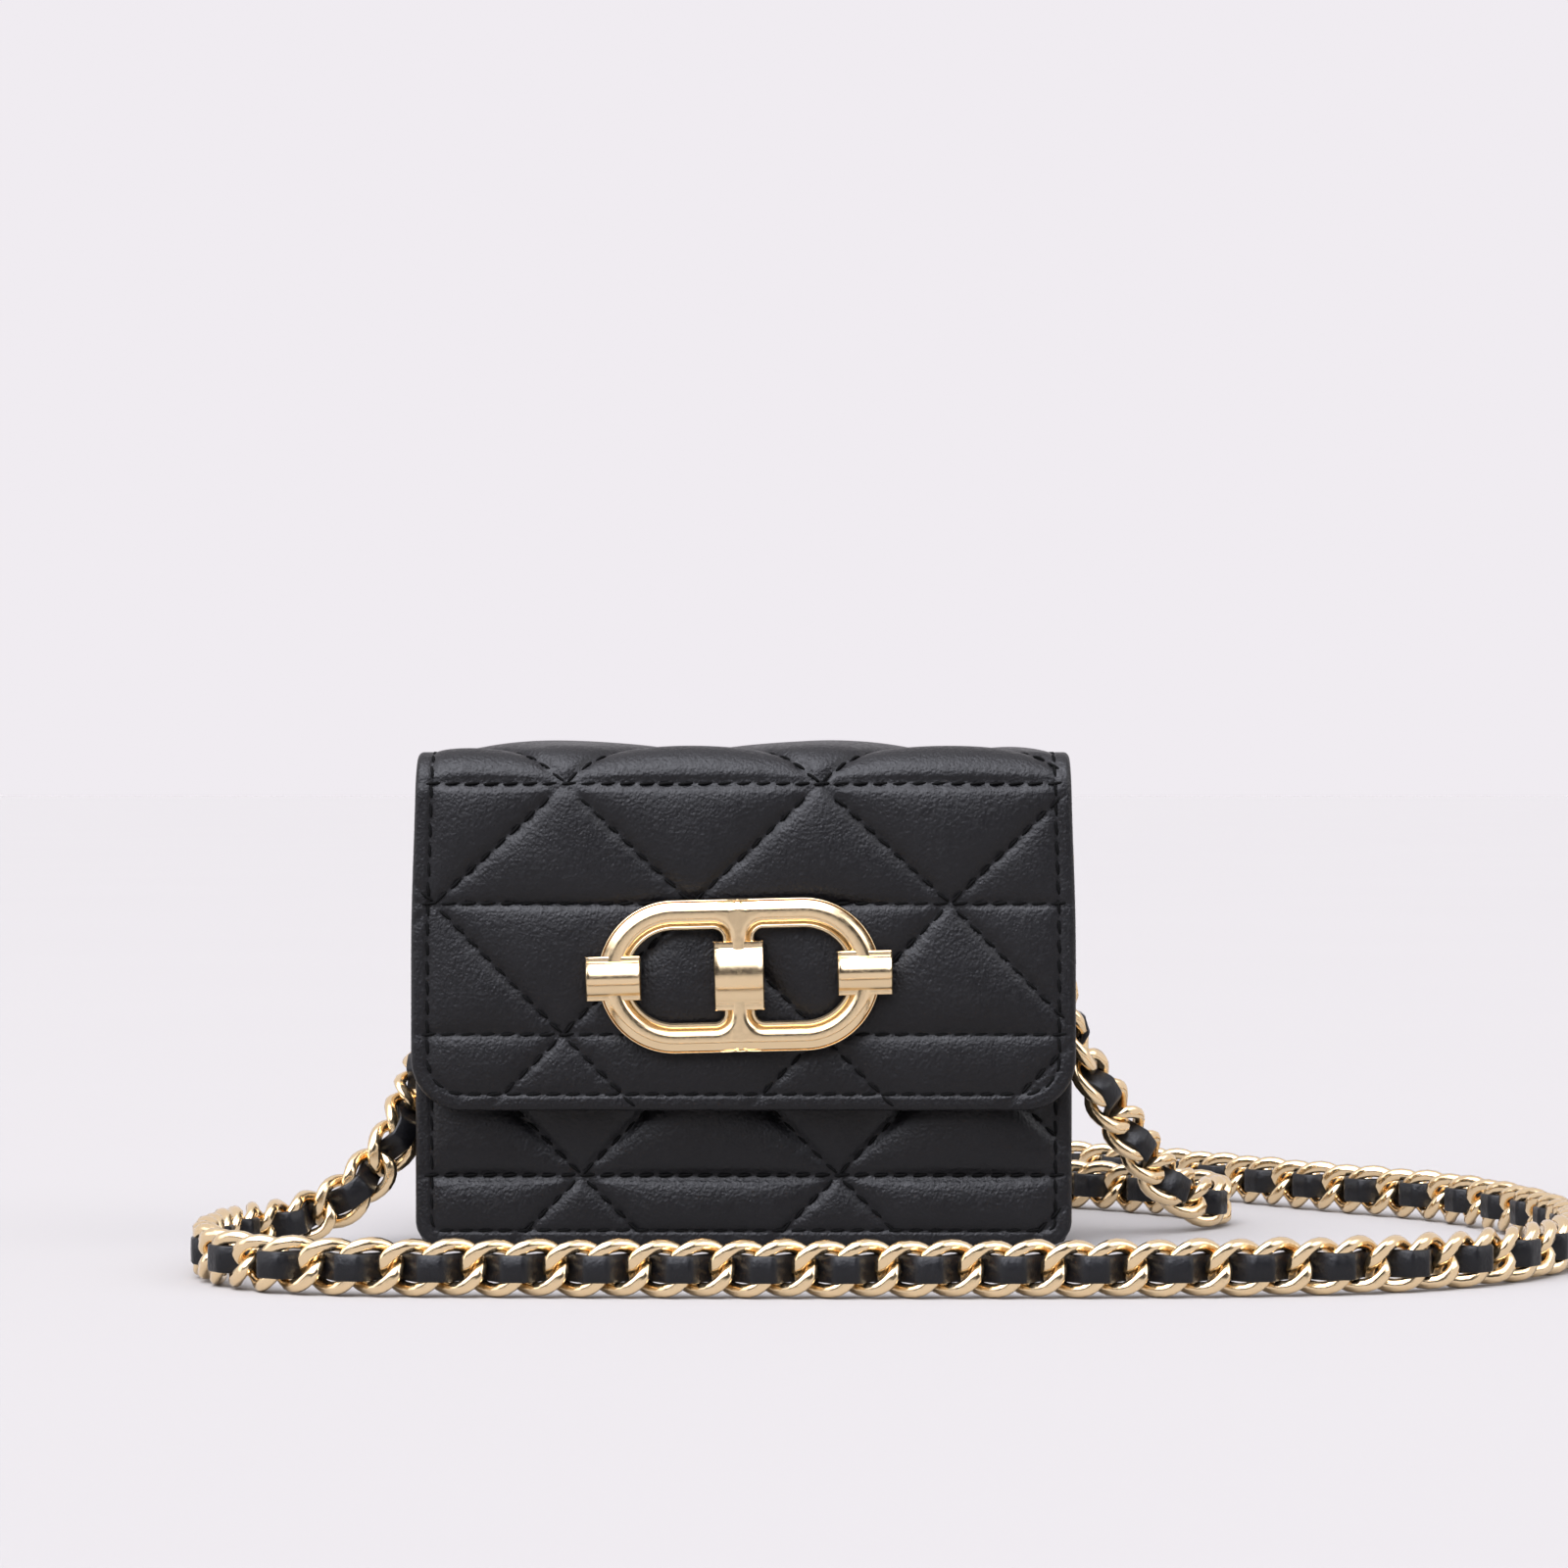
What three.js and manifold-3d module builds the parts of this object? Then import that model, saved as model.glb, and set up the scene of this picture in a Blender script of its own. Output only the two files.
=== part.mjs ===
// A small quilted flap purse on a woven chain strap. Millimetres, +Z up, front at -Y, +X to the right.
// Origin: the middle of the bag's underside, on the surface that it stands on.
import * as THREE from 'three';
import { mergeVertices } from 'three/addons/utils/BufferGeometryUtils.js';
import Module from 'manifold-3d';

const wasm = await Module();
wasm.setup();

// Driving dimensions
const BAG_WIDTH = 115;
const BAG_DEPTH = 36;
const BAG_HEIGHT = 88;
const GAP = 0.3; // air left between neighbouring layers
const SKIN = 1.2; // outer leather
const PADDING = 1.3; // foam under the quilting
const LINING = 0.6; // fabric with its backing
const BASE_BOARD = 1.5;
const FLAP_BOTTOM_Z = 24.5;
const FLAP_CORNER = 9;
const PANEL_CORNER = 6;
const SNAP_SPACE = 2.8; // between the closed flap and the front panel
const GUSSET_FOLD = 6.5; // how far the side folds inwards at its middle
const BADGE_WIDTH = 48.7;
const BADGE_HEIGHT = 26.5;
const BADGE_BAND = 5.3;
const BADGE_BAR = 5.5;
const BADGE_THICKNESS = 3.2;
const BADGE_CENTRE = [-0.7, 48.1];
const BADGE_TILT = 0.022; // radians, right end higher
const WRAP_SIZE = [9.6, 7.7];
const CENTRE_WRAP_SIZE = [8.6, 11.9];
const SNAP_RADIUS = 7;
const STRAP_WIDTH = 9;
const STRAP_SIDES = 8;
const STRAP_STEPS = 80;
const RING_WIRE = 2;
const RING_X = 54.35; // the D-rings' swing axis runs front to back
const RING_Z = 76;
const RING_HALF_WIDTH = 6;
const RING_DROP = 9;
const TAB_WIDTH = 9;
const TAB_TOP_Z = 80;
const TAB_THICKNESS = 0.9;
const TAB_BORE = 1.7;
const TAB_LOOP = 2.5;
const LINK_WIRE = 1.4;
const LINK_HALF_WIDTH = 2.9;
const LINK_HALF_HEIGHT = 5;
const LINK_X = RING_X + 0.9;
const LINK_Z = RING_Z - RING_DROP + RING_WIRE / 2 + 1.6 + LINK_WIRE / 2 - LINK_HALF_HEIGHT;
const STRAP_TOP_X = 56;
const PANEL_INSET = 4.2; // padding and lining stop short of the leather's edge
const PANEL_SIDE_MARGIN = 0.2; // the leather panels stand just inside the flap
const PADDING_FOOT_Z = 6;
const BASE_MARGIN = 3; // from the bag's side to the base leather
const BOARD_HALF_WIDTH = 48.8;
const GUSSET_LINING_INSET = 2.6;
const POCKET_HALF_WIDTH = 36;
const POCKET_BOTTOM_Z = 22;
const POCKET_TOP_Z = 60;
const POCKET_THICKNESS = 0.8;
const FLAP_TOP_FRONT_SETBACK = 5; // from the front to where the level top begins
const FLAP_TOP_BACK_SETBACK = 2.5;
const FLAP_INSET = 2; // padding and lining, from the flap's edge
const BADGE_STEP = 0.9; // the bands stand this much proud of the frame
const BADGE_STANDOFF = 0.5;
const BADGE_ARC_SEGMENTS = 12;
const PLATE_MARGIN = 3;
const PLATE_HALF_HEIGHT = 5;
const PLATE_THICKNESS = 0.6;
const SNAP_DROP = 4; // below the badge's middle
const SNAP_CLEARANCE = 0.15;
const STUD_DISC = 0.7;
const STUD_PIN_RADIUS = 2.2;
const STUD_PIN_LENGTH = 1.1;
const SOCKET_THICKNESS = 1.5;
const SOCKET_HOLE_RADIUS = 2.7;

const HALF_WIDTH = BAG_WIDTH / 2;
const FRONT_Y = -BAG_DEPTH / 2;
const BACK_Y = BAG_DEPTH / 2;
const LAYERS = SKIN + GAP + PADDING + GAP + LINING;
const PANEL_FRONT_Y = FRONT_Y + LAYERS + SNAP_SPACE;
const FLAP_UNDERSIDE_Z = BAG_HEIGHT - LAYERS;
const BODY_TOP_Z = FLAP_UNDERSIDE_Z - 2;

const LEATHER = { color: 0x15151a, roughness: 0.45, metalness: 0 };
const FABRIC = { color: 0x17171a, roughness: 0.9, metalness: 0 };
const FOAM = { color: 0x8d8b86, roughness: 0.95, metalness: 0 };
const BOARD = { color: 0x8a7a64, roughness: 0.9, metalness: 0 };
const GOLD = { color: 0xe3c48f, roughness: 0.18, metalness: 1 };
const STEEL = { color: 0xb9b7b2, roughness: 0.35, metalness: 1 };

const purse = new THREE.Group();

function addPiece(name, geometry, finish) {
  const mesh = new THREE.Mesh(geometry, new THREE.MeshStandardMaterial(finish));
  mesh.name = name;
  purse.add(mesh);
  return mesh;
}

function extruded(shape, thickness, curveSegments = 6) {
  return new THREE.ExtrudeGeometry(shape, { depth: thickness, bevelEnabled: false, curveSegments });
}

// A rectangle, x0..x1 by z0..z1, whose lower and upper corners have radii of their own.
function roundedRectangle(x0, x1, z0, z1, lowerRadius, upperRadius) {
  const quarter = Math.PI / 2;
  const shape = new THREE.Shape();
  const corners = [
    [x1, z0, -1, 1, lowerRadius, -quarter], [x1, z1, -1, -1, upperRadius, 0],
    [x0, z1, 1, -1, upperRadius, quarter], [x0, z0, 1, 1, lowerRadius, 2 * quarter],
  ];
  for (const [x, z, inX, inZ, radius, angle] of corners) {
    const isFirst = shape.curves.length === 0 && shape.currentPoint.length() === 0;
    if (radius > 0) {
      shape.absarc(x + inX * radius, z + inZ * radius, radius, angle, angle + quarter, false);
    } else if (isFirst) {
      shape.moveTo(x, z);
    } else {
      shape.lineTo(x, z);
    }
  }
  shape.closePath();
  return shape;
}

// An upright slab in the XZ plane from y to y + thickness.
function uprightSlab(shape, y, thickness) {
  return extruded(shape, thickness).rotateX(Math.PI / 2).translate(0, y + thickness, 0);
}

// A level slab in the XY plane from z to z + thickness.
function levelSlab(shape, z, thickness) {
  return extruded(shape, thickness).translate(0, 0, z);
}

function solidOf(geometry) {
  const bare = geometry.clone();
  bare.deleteAttribute('normal');
  bare.deleteAttribute('uv');
  const merged = mergeVertices(bare, 1e-4);
  const vertProperties = new Float32Array(merged.attributes.position.array);
  const triVerts = new Uint32Array(merged.index.array);
  return new wasm.Manifold(new wasm.Mesh({ numProp: 3, vertProperties, triVerts }));
}

function geometryOf(solid) {
  const mesh = solid.getMesh();
  const geometry = new THREE.BufferGeometry();
  geometry.setAttribute('position', new THREE.BufferAttribute(new Float32Array(mesh.vertProperties), 3));
  geometry.setIndex(new THREE.BufferAttribute(new Uint32Array(mesh.triVerts), 1));
  geometry.computeVertexNormals();
  return geometry;
}

// Body panels: leather, padding and lining, one behind another
function addPanel(name, outerY, inwards, topZ) {
  const skinY = inwards > 0 ? outerY : outerY - SKIN;
  const paddingY = inwards > 0 ? outerY + SKIN + GAP : outerY - SKIN - GAP - PADDING;
  const liningY = inwards > 0 ? outerY + LAYERS - LINING : outerY - LAYERS;
  const panelHalf = HALF_WIDTH - PANEL_SIDE_MARGIN;
  const outline = roundedRectangle(-panelHalf, panelHalf, GAP, topZ, PANEL_CORNER, 2);
  addPiece(`${name}_panel`, uprightSlab(outline, skinY, SKIN), LEATHER);
  const innerHalf = HALF_WIDTH - PANEL_INSET;
  const padding = roundedRectangle(-innerHalf, innerHalf, PADDING_FOOT_Z, topZ - 1, 3, 1);
  addPiece(`${name}_padding`, uprightSlab(padding, paddingY, PADDING), FOAM);
  const lining = roundedRectangle(-innerHalf, innerHalf, PADDING_FOOT_Z, topZ - 0.5, 3, 1);
  addPiece(`${name}_lining`, uprightSlab(lining, liningY, LINING), FABRIC);
}
addPanel('front', PANEL_FRONT_Y, 1, BODY_TOP_Z - 1);
addPanel('back', BACK_Y, -1, BODY_TOP_Z);

// Base: leather, board and lining between the two panels
const BASE_Y0 = PANEL_FRONT_Y + SKIN + GAP;
const BASE_Y1 = BACK_Y - SKIN - GAP;
const baseHalf = HALF_WIDTH - BASE_MARGIN;
const baseOutline = roundedRectangle(-baseHalf, baseHalf, BASE_Y0, BASE_Y1, 1, 1);
addPiece('base_panel', levelSlab(baseOutline, 0, SKIN), LEATHER);
const boardOutline = roundedRectangle(
  -BOARD_HALF_WIDTH, BOARD_HALF_WIDTH, BASE_Y0 + 0.5, BASE_Y1 - 0.5, 2, 2,
);
addPiece('base_board', levelSlab(boardOutline, SKIN + GAP, BASE_BOARD), BOARD);
const BASE_LINING_Z = SKIN + GAP + BASE_BOARD + GAP;
addPiece('base_lining', levelSlab(boardOutline, BASE_LINING_Z, LINING), FABRIC);

// Sides: folded inwards at the middle, leather outside and lining inside
const FOLD_Y = (BASE_Y0 + BASE_Y1) / 2;
function gussetOutline(edgeX, thickness, y0, y1) {
  const shape = new THREE.Shape();
  shape.moveTo(edgeX, y0);
  shape.quadraticCurveTo(edgeX - GUSSET_FOLD * 0.9, (y0 + FOLD_Y) / 2, edgeX - GUSSET_FOLD, FOLD_Y);
  shape.quadraticCurveTo(edgeX - GUSSET_FOLD * 0.9, (y1 + FOLD_Y) / 2, edgeX, y1);
  shape.lineTo(edgeX - thickness, y1);
  shape.quadraticCurveTo(edgeX - GUSSET_FOLD * 0.9 - thickness, (y1 + FOLD_Y) / 2,
    edgeX - GUSSET_FOLD - thickness, FOLD_Y);
  shape.quadraticCurveTo(edgeX - GUSSET_FOLD * 0.9 - thickness, (y0 + FOLD_Y) / 2, edgeX - thickness, y0);
  shape.closePath();
  return shape;
}
const GUSSET_EDGE_X = HALF_WIDTH - 0.4;
const GUSSET_BOTTOM_Z = SKIN + GAP;
const GUSSET_TOP_Z = BODY_TOP_Z - 2;
const GUSSET_LINING_EDGE_X = GUSSET_EDGE_X - SKIN - GAP - GUSSET_LINING_INSET;
const GUSSET_LINING_BOTTOM_Z = BASE_LINING_Z + LINING + GAP;
const GUSSET_LINING_TOP_Z = BODY_TOP_Z - 3;

// Each side piece is drawn for the right, and the left one is the same turned about the fold's own plane.
function turnedToLeft(geometry) {
  return geometry.rotateZ(Math.PI).translate(0, 2 * FOLD_Y, 0);
}
function addOnBothSides(name, makeGeometry, finish) {
  addPiece(`${name}_right`, makeGeometry(), finish);
  addPiece(`${name}_left`, turnedToLeft(makeGeometry()), finish);
}
function gusset() {
  const outline = gussetOutline(GUSSET_EDGE_X, SKIN, BASE_Y0, BASE_Y1);
  return levelSlab(outline, GUSSET_BOTTOM_Z, GUSSET_TOP_Z - GUSSET_BOTTOM_Z);
}
function gussetLining() {
  const y0 = PANEL_FRONT_Y + LAYERS + GAP;
  const outline = gussetOutline(GUSSET_LINING_EDGE_X, LINING, y0, BACK_Y - LAYERS - GAP);
  return levelSlab(outline, GUSSET_LINING_BOTTOM_Z, GUSSET_LINING_TOP_Z - GUSSET_LINING_BOTTOM_Z);
}
addOnBothSides('gusset', gusset, LEATHER);
addOnBothSides('gusset_lining', gussetLining, FABRIC);

// A slip pocket on the back lining
const pocketOutline = roundedRectangle(
  -POCKET_HALF_WIDTH, POCKET_HALF_WIDTH, POCKET_BOTTOM_Z, POCKET_TOP_Z, 3, 0,
);
const POCKET_Y = BACK_Y - LAYERS - GAP - POCKET_THICKNESS;
addPiece('slip_pocket', uprightSlab(pocketOutline, POCKET_Y, POCKET_THICKNESS), FABRIC);

// The flap's top, over the bag's mouth
const TOP_Y0 = FRONT_Y + FLAP_TOP_FRONT_SETBACK;
const TOP_Y1 = BACK_Y - FLAP_TOP_BACK_SETBACK;
const topOutline = roundedRectangle(-HALF_WIDTH, HALF_WIDTH, TOP_Y0, TOP_Y1, 0, 0);
const flapInnerHalf = HALF_WIDTH - FLAP_INSET;
const topInner = roundedRectangle(-flapInnerHalf, flapInnerHalf, TOP_Y0 + 0.2, TOP_Y1 - 0.2, 0, 0);
addPiece('flap_top_leather', levelSlab(topOutline, BAG_HEIGHT - SKIN, SKIN), LEATHER);
addPiece('flap_top_padding', levelSlab(topInner, BAG_HEIGHT - SKIN - GAP - PADDING, PADDING), FOAM);
addPiece('flap_top_lining', levelSlab(topInner, FLAP_UNDERSIDE_Z, LINING), FABRIC);

// The flap's front, with its rounded lower corners
const FLAP_TOP_Z = FLAP_UNDERSIDE_Z - 0.9;
const flapOutline = roundedRectangle(-HALF_WIDTH, HALF_WIDTH, FLAP_BOTTOM_Z, FLAP_TOP_Z, FLAP_CORNER, 0);
const flapInner = roundedRectangle(
  -flapInnerHalf, flapInnerHalf, FLAP_BOTTOM_Z + FLAP_INSET, FLAP_TOP_Z - 0.3, FLAP_CORNER - FLAP_INSET, 0,
);
addPiece('flap_front_leather', uprightSlab(flapOutline, FRONT_Y, SKIN), LEATHER);
const FLAP_PADDING_Y = FRONT_Y + SKIN + GAP;
const FLAP_LINING_Y = FRONT_Y + LAYERS - LINING;

// Badge: a link-shaped frame with three bands wrapped on it, its bent legs through the flap
function stadium(halfWidth, radius) {
  const outline = new THREE.Shape();
  const straight = halfWidth - radius;
  outline.absarc(straight, 0, radius, -Math.PI / 2, Math.PI / 2, false);
  outline.absarc(-straight, 0, radius, Math.PI / 2, Math.PI * 1.5, false);
  outline.closePath();
  return outline;
}
const innerRadius = BADGE_HEIGHT / 2 - BADGE_BAND;
const FRAME_THICKNESS = BADGE_THICKNESS - BADGE_STEP;
const frameOutline = stadium(BADGE_WIDTH / 2, BADGE_HEIGHT / 2);
const openingOutline = stadium(BADGE_WIDTH / 2 - BADGE_BAND, innerRadius);
const barOutline = roundedRectangle(-BADGE_BAR / 2, BADGE_BAR / 2, -innerRadius - 1, innerRadius + 1, 0, 0);
const frameOpening = extruded(openingOutline, FRAME_THICKNESS + 2, BADGE_ARC_SEGMENTS).translate(0, 0, -1);
const frameSolid = solidOf(extruded(frameOutline, FRAME_THICKNESS, BADGE_ARC_SEGMENTS))
  .subtract(solidOf(frameOpening))
  .add(solidOf(extruded(barOutline, FRAME_THICKNESS)));
const BADGE_BACK_Y = FRONT_Y - BADGE_STANDOFF;
function placeOnFlap(geometry, dx) {
  geometry.rotateX(Math.PI / 2);
  geometry.translate(dx, 0, 0);
  geometry.rotateY(-BADGE_TILT);
  return geometry.translate(BADGE_CENTRE[0], BADGE_BACK_Y, BADGE_CENTRE[1]);
}
addPiece('badge_frame', placeOnFlap(geometryOf(frameSolid), 0), GOLD);

// A crowned band across the frame, sitting on its front
function endBand(width, height) {
  const outline = new THREE.Shape();
  const front = BADGE_THICKNESS + 0.8;
  const under = FRAME_THICKNESS + GAP;
  const half = height / 2;
  outline.moveTo(-half, under);
  outline.quadraticCurveTo(-half * 0.6, front, 0, front);
  outline.quadraticCurveTo(half * 0.6, front, half, under);
  outline.closePath();
  const band = extruded(outline, width).translate(0, 0, -width / 2);
  return band.rotateY(Math.PI / 2).rotateX(Math.PI / 2);
}
const END_BAND_X = BADGE_WIDTH / 2 - BADGE_BAND / 2 - 0.3;
addPiece('badge_band_left', placeOnFlap(endBand(...WRAP_SIZE), -END_BAND_X), GOLD);
addPiece('badge_band_right', placeOnFlap(endBand(...WRAP_SIZE), END_BAND_X), GOLD);
addPiece('badge_band_centre', placeOnFlap(endBand(...CENTRE_WRAP_SIZE), 0), GOLD);

// The badge's fixing plate, let into the padding behind it
const plateHalfWidth = BADGE_WIDTH / 2 - BADGE_BAND / 2 + PLATE_MARGIN;
function plateOutline(growth, corner) {
  const halfWidth = plateHalfWidth + growth;
  const halfHeight = PLATE_HALF_HEIGHT + growth;
  return roundedRectangle(-halfWidth, halfWidth, -halfHeight, halfHeight, corner, corner);
}
function placeInFlap(geometry, y) {
  return geometry.rotateY(-BADGE_TILT).translate(BADGE_CENTRE[0], y, BADGE_CENTRE[1]);
}
const platePocket = placeInFlap(uprightSlab(plateOutline(GAP, 2), 0, PADDING + 2), FLAP_PADDING_Y - 1);
const flapPadding = solidOf(uprightSlab(flapInner, FLAP_PADDING_Y, PADDING)).subtract(solidOf(platePocket));
addPiece('flap_front_padding', geometryOf(flapPadding), FOAM);
const plate = placeInFlap(uprightSlab(plateOutline(0, 1.5), 0, PLATE_THICKNESS), FLAP_PADDING_Y + GAP);
addPiece('badge_fixing_plate', plate, STEEL);
const flapLining = uprightSlab(flapInner, FLAP_LINING_Y, LINING);
addPiece('flap_front_lining', flapLining, FABRIC);

// Magnetic snap: a socket on the front panel and a stud on the flap, behind the badge
function disc(radius, y, thickness, holeRadius) {
  const shape = new THREE.Shape().absarc(0, 0, radius, 0, Math.PI * 2, false);
  if (holeRadius > 0) {
    shape.holes.push(new THREE.Path().absarc(0, 0, holeRadius, 0, Math.PI * 2, true));
  }
  return uprightSlab(shape, y, thickness).translate(BADGE_CENTRE[0], 0, BADGE_CENTRE[1] - SNAP_DROP);
}
const STUD_Y = FLAP_LINING_Y + LINING + SNAP_CLEARANCE;
const SOCKET_Y = PANEL_FRONT_Y - SNAP_CLEARANCE - SOCKET_THICKNESS;
const studDisc = solidOf(disc(SNAP_RADIUS, STUD_Y, STUD_DISC, 0));
const studPin = solidOf(disc(STUD_PIN_RADIUS, STUD_Y + STUD_DISC - 0.2, STUD_PIN_LENGTH, 0));
addPiece('snap_stud', geometryOf(studDisc.add(studPin)), GOLD);
addPiece('snap_socket', disc(SNAP_RADIUS, SOCKET_Y, SOCKET_THICKNESS, SOCKET_HOLE_RADIUS), GOLD);

// Side tabs: a leather loop that holds a D-ring, with the strap's end link hanging from the ring
function sideSlab(shape, x, thickness) {
  // a shape of Y by Z, thickness along X
  return extruded(shape, thickness).rotateY(Math.PI / 2).rotateX(Math.PI / 2).translate(x, FOLD_Y, 0);
}
function tabCylinder(radius, length) {
  return new THREE.CylinderGeometry(radius, radius, length, 16).translate(RING_X, FOLD_Y, RING_Z);
}
function tab() {
  const patch = new THREE.BoxGeometry(TAB_THICKNESS, TAB_WIDTH, TAB_TOP_Z - RING_Z);
  patch.translate(RING_X - TAB_LOOP + TAB_THICKNESS / 2 + 0.05, FOLD_Y, (TAB_TOP_Z + RING_Z) / 2);
  const loop = solidOf(tabCylinder(TAB_LOOP, TAB_WIDTH)).add(solidOf(patch));
  return geometryOf(loop.subtract(solidOf(tabCylinder(TAB_BORE, TAB_WIDTH + 2))));
}
function ring() {
  const half = RING_HALF_WIDTH + RING_WIRE / 2;
  const inner = RING_HALF_WIDTH - RING_WIRE / 2;
  const cornerZ = -RING_DROP + RING_HALF_WIDTH;
  const shape = new THREE.Shape();
  shape.absarc(0, cornerZ, half, Math.PI, Math.PI * 2, false);
  shape.lineTo(half, RING_WIRE / 2);
  shape.lineTo(-half, RING_WIRE / 2);
  shape.closePath();
  const hole = new THREE.Path();
  hole.absarc(0, cornerZ, inner, Math.PI, Math.PI * 2, false);
  hole.lineTo(inner, -RING_WIRE / 2);
  hole.lineTo(-inner, -RING_WIRE / 2);
  hole.closePath();
  shape.holes.push(hole);
  return sideSlab(shape, RING_X - RING_WIRE / 2, RING_WIRE).translate(0, 0, RING_Z);
}
function endLink() {
  const shape = stadiumUpright(LINK_HALF_WIDTH + LINK_WIRE / 2, LINK_HALF_HEIGHT + LINK_WIRE / 2);
  const hole = stadiumUpright(LINK_HALF_WIDTH - LINK_WIRE / 2, LINK_HALF_HEIGHT - LINK_WIRE / 2, THREE.Path);
  shape.holes.push(hole);
  return uprightSlab(shape, FOLD_Y - LINK_WIRE / 2, LINK_WIRE).translate(LINK_X, 0, LINK_Z);
}
function stadiumUpright(radius, halfHeight, Target = THREE.Shape) {
  const outline = new Target();
  outline.absarc(0, halfHeight - radius, radius, 0, Math.PI, false);
  outline.absarc(0, radius - halfHeight, radius, Math.PI, Math.PI * 2, false);
  outline.closePath();
  return outline;
}
addOnBothSides('ring_tab', tab, LEATHER);
addOnBothSides('d_ring', ring, GOLD);
addOnBothSides('strap_end_link', endLink, GOLD);

// The strap: a chain woven with a leather ribbon, as one plain tube of its real length. It runs from the
// left end link round the front and the right, is laid to and fro behind the bag, and rises to the right one.
const LIE = STRAP_WIDTH / 2 + 0.2; // height of its middle where it lies
const CROSS = LIE + STRAP_WIDTH + 0.9; // where it passes over itself
const STRAP_TOP_Z = LINK_Z - LINK_HALF_HEIGHT - LINK_WIRE / 2 - GAP;
const strapRoute = [
  [-STRAP_TOP_X, FOLD_Y, STRAP_TOP_Z], [-55.7, 3, 47], [-55.7, 2.4, 37],
  [-57.2, -0.6, 28], [-61.2, -4.6, 18.5],
  [-67.4, -7.5, 10.6], [-75, -10, 6], [-81.5, -15.5, LIE], [-86, -25, LIE], [-88.2, -38, LIE],
  [-88.2, -52, LIE], [-84, -66, LIE], [-74, -77, LIE], [-60, -81.5, LIE], [-40, -83, LIE],
  [-15, -84, LIE], [10, -84.5, LIE], [35, -84.5, LIE], [60, -84, LIE], [81, -82.2, LIE],
  [103, -77, LIE], [123, -64, LIE], [137, -43, LIE], [141.6, -19, LIE], [140, 5, LIE],
  [135, 25, LIE], [127, 42, LIE], [114, 56.5, LIE], [104, 68, LIE], [94, 81, LIE],
  [77, 101, LIE], [60, 115.5, LIE], [42, 127, LIE], [20, 133.5, LIE], [-6, 134, LIE],
  [-26, 133.5, LIE], [-39, 128.5, LIE], [-44, 116, LIE], [-39, 103.5, LIE], [-26, 98.5, LIE],
  [-5, 98, LIE], [18, 97.5, 5.6], [35, 92.5, 9.6], [47, 81, CROSS], [50, 67, CROSS],
  [46, 52, 9.6], [36, 42, 5.6], [20, 38.5, LIE], [-5, 38, LIE], [-26, 38.5, LIE],
  [-39, 44, LIE], [-44.5, 57, LIE], [-39, 70, LIE], [-26, 75.5, LIE], [-5, 77, LIE],
  [20, 77.5, LIE], [42, 76.5, LIE], [56, 72, LIE], [67, 64, LIE], [77, 54, LIE],
  [84.5, 44, LIE], [87, 34, LIE], [82.5, 24.5, 5.4], [75.5, 17, 9.8], [68.4, 9.6, 19],
  [61.6, 4.6, 29.5], [57.6, 3.3, 40], [56, 3.2, 50], [STRAP_TOP_X, FOLD_Y, STRAP_TOP_Z],
].map(([x, y, z]) => new THREE.Vector3(x, y, z));
const strapCurve = new THREE.CatmullRomCurve3(strapRoute, false, 'centripetal');
strapCurve.arcLengthDivisions = 2000;
const strapSection = new THREE.Shape().absarc(0, 0, STRAP_WIDTH / 2, 0, Math.PI * 2, false);
addPiece('strap', new THREE.ExtrudeGeometry(strapSection, {
  extrudePath: strapCurve, steps: STRAP_STEPS, curveSegments: STRAP_SIDES, bevelEnabled: false,
}), LEATHER);

export default purse;
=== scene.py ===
"""The look of a small quilted flap purse: quilted leather, a pale gold badge and a woven chain strap.

Metres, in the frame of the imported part: +Z up, the badge at -Y, +X to the right.
"""

import math

import bmesh
import bpy
import numpy as np
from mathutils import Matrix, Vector


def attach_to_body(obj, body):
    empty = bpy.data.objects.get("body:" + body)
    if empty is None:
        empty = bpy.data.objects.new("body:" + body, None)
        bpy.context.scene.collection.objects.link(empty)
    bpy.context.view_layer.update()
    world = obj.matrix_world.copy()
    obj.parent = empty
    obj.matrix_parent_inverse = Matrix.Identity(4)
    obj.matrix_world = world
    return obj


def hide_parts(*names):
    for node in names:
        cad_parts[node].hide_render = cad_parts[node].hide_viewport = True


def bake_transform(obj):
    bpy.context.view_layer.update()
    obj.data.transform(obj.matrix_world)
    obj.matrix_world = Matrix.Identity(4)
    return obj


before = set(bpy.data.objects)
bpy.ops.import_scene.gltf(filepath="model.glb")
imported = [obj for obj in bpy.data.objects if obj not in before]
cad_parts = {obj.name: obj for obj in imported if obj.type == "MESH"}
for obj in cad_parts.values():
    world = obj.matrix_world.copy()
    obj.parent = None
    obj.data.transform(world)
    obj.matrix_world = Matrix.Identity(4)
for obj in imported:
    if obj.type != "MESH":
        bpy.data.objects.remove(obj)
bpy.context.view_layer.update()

MM = 0.001
SIDES = (("left", -1), ("right", 1))
WIRE_SIDES = 14


# ---- small helpers

def grid_faces(rows, columns, wrap_rows=False, wrap_columns=False):
    """Quads of a grid of rows by columns vertices, numbered row by row."""
    faces = []
    for i in range(rows if wrap_rows else rows - 1):
        for j in range(columns if wrap_columns else columns - 1):
            i2, j2 = (i + 1) % rows, (j + 1) % columns
            faces.append((i * columns + j, i * columns + j2, i2 * columns + j2, i2 * columns + j))
    return faces


def tube_faces(rows, columns, first=0):
    """Faces of a tube made of rings, closed at both ends, with its vertices numbered from first."""
    last = (rows - 1) * columns
    faces = grid_faces(rows, columns, False, True)
    faces += [tuple(range(columns)), tuple(range(last, last + columns))[::-1]]
    return [tuple(first + k for k in f) for f in faces]


def add_object(name, data):
    obj = bpy.data.objects.new(name, data)
    bpy.context.scene.collection.objects.link(obj)
    return obj


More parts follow.
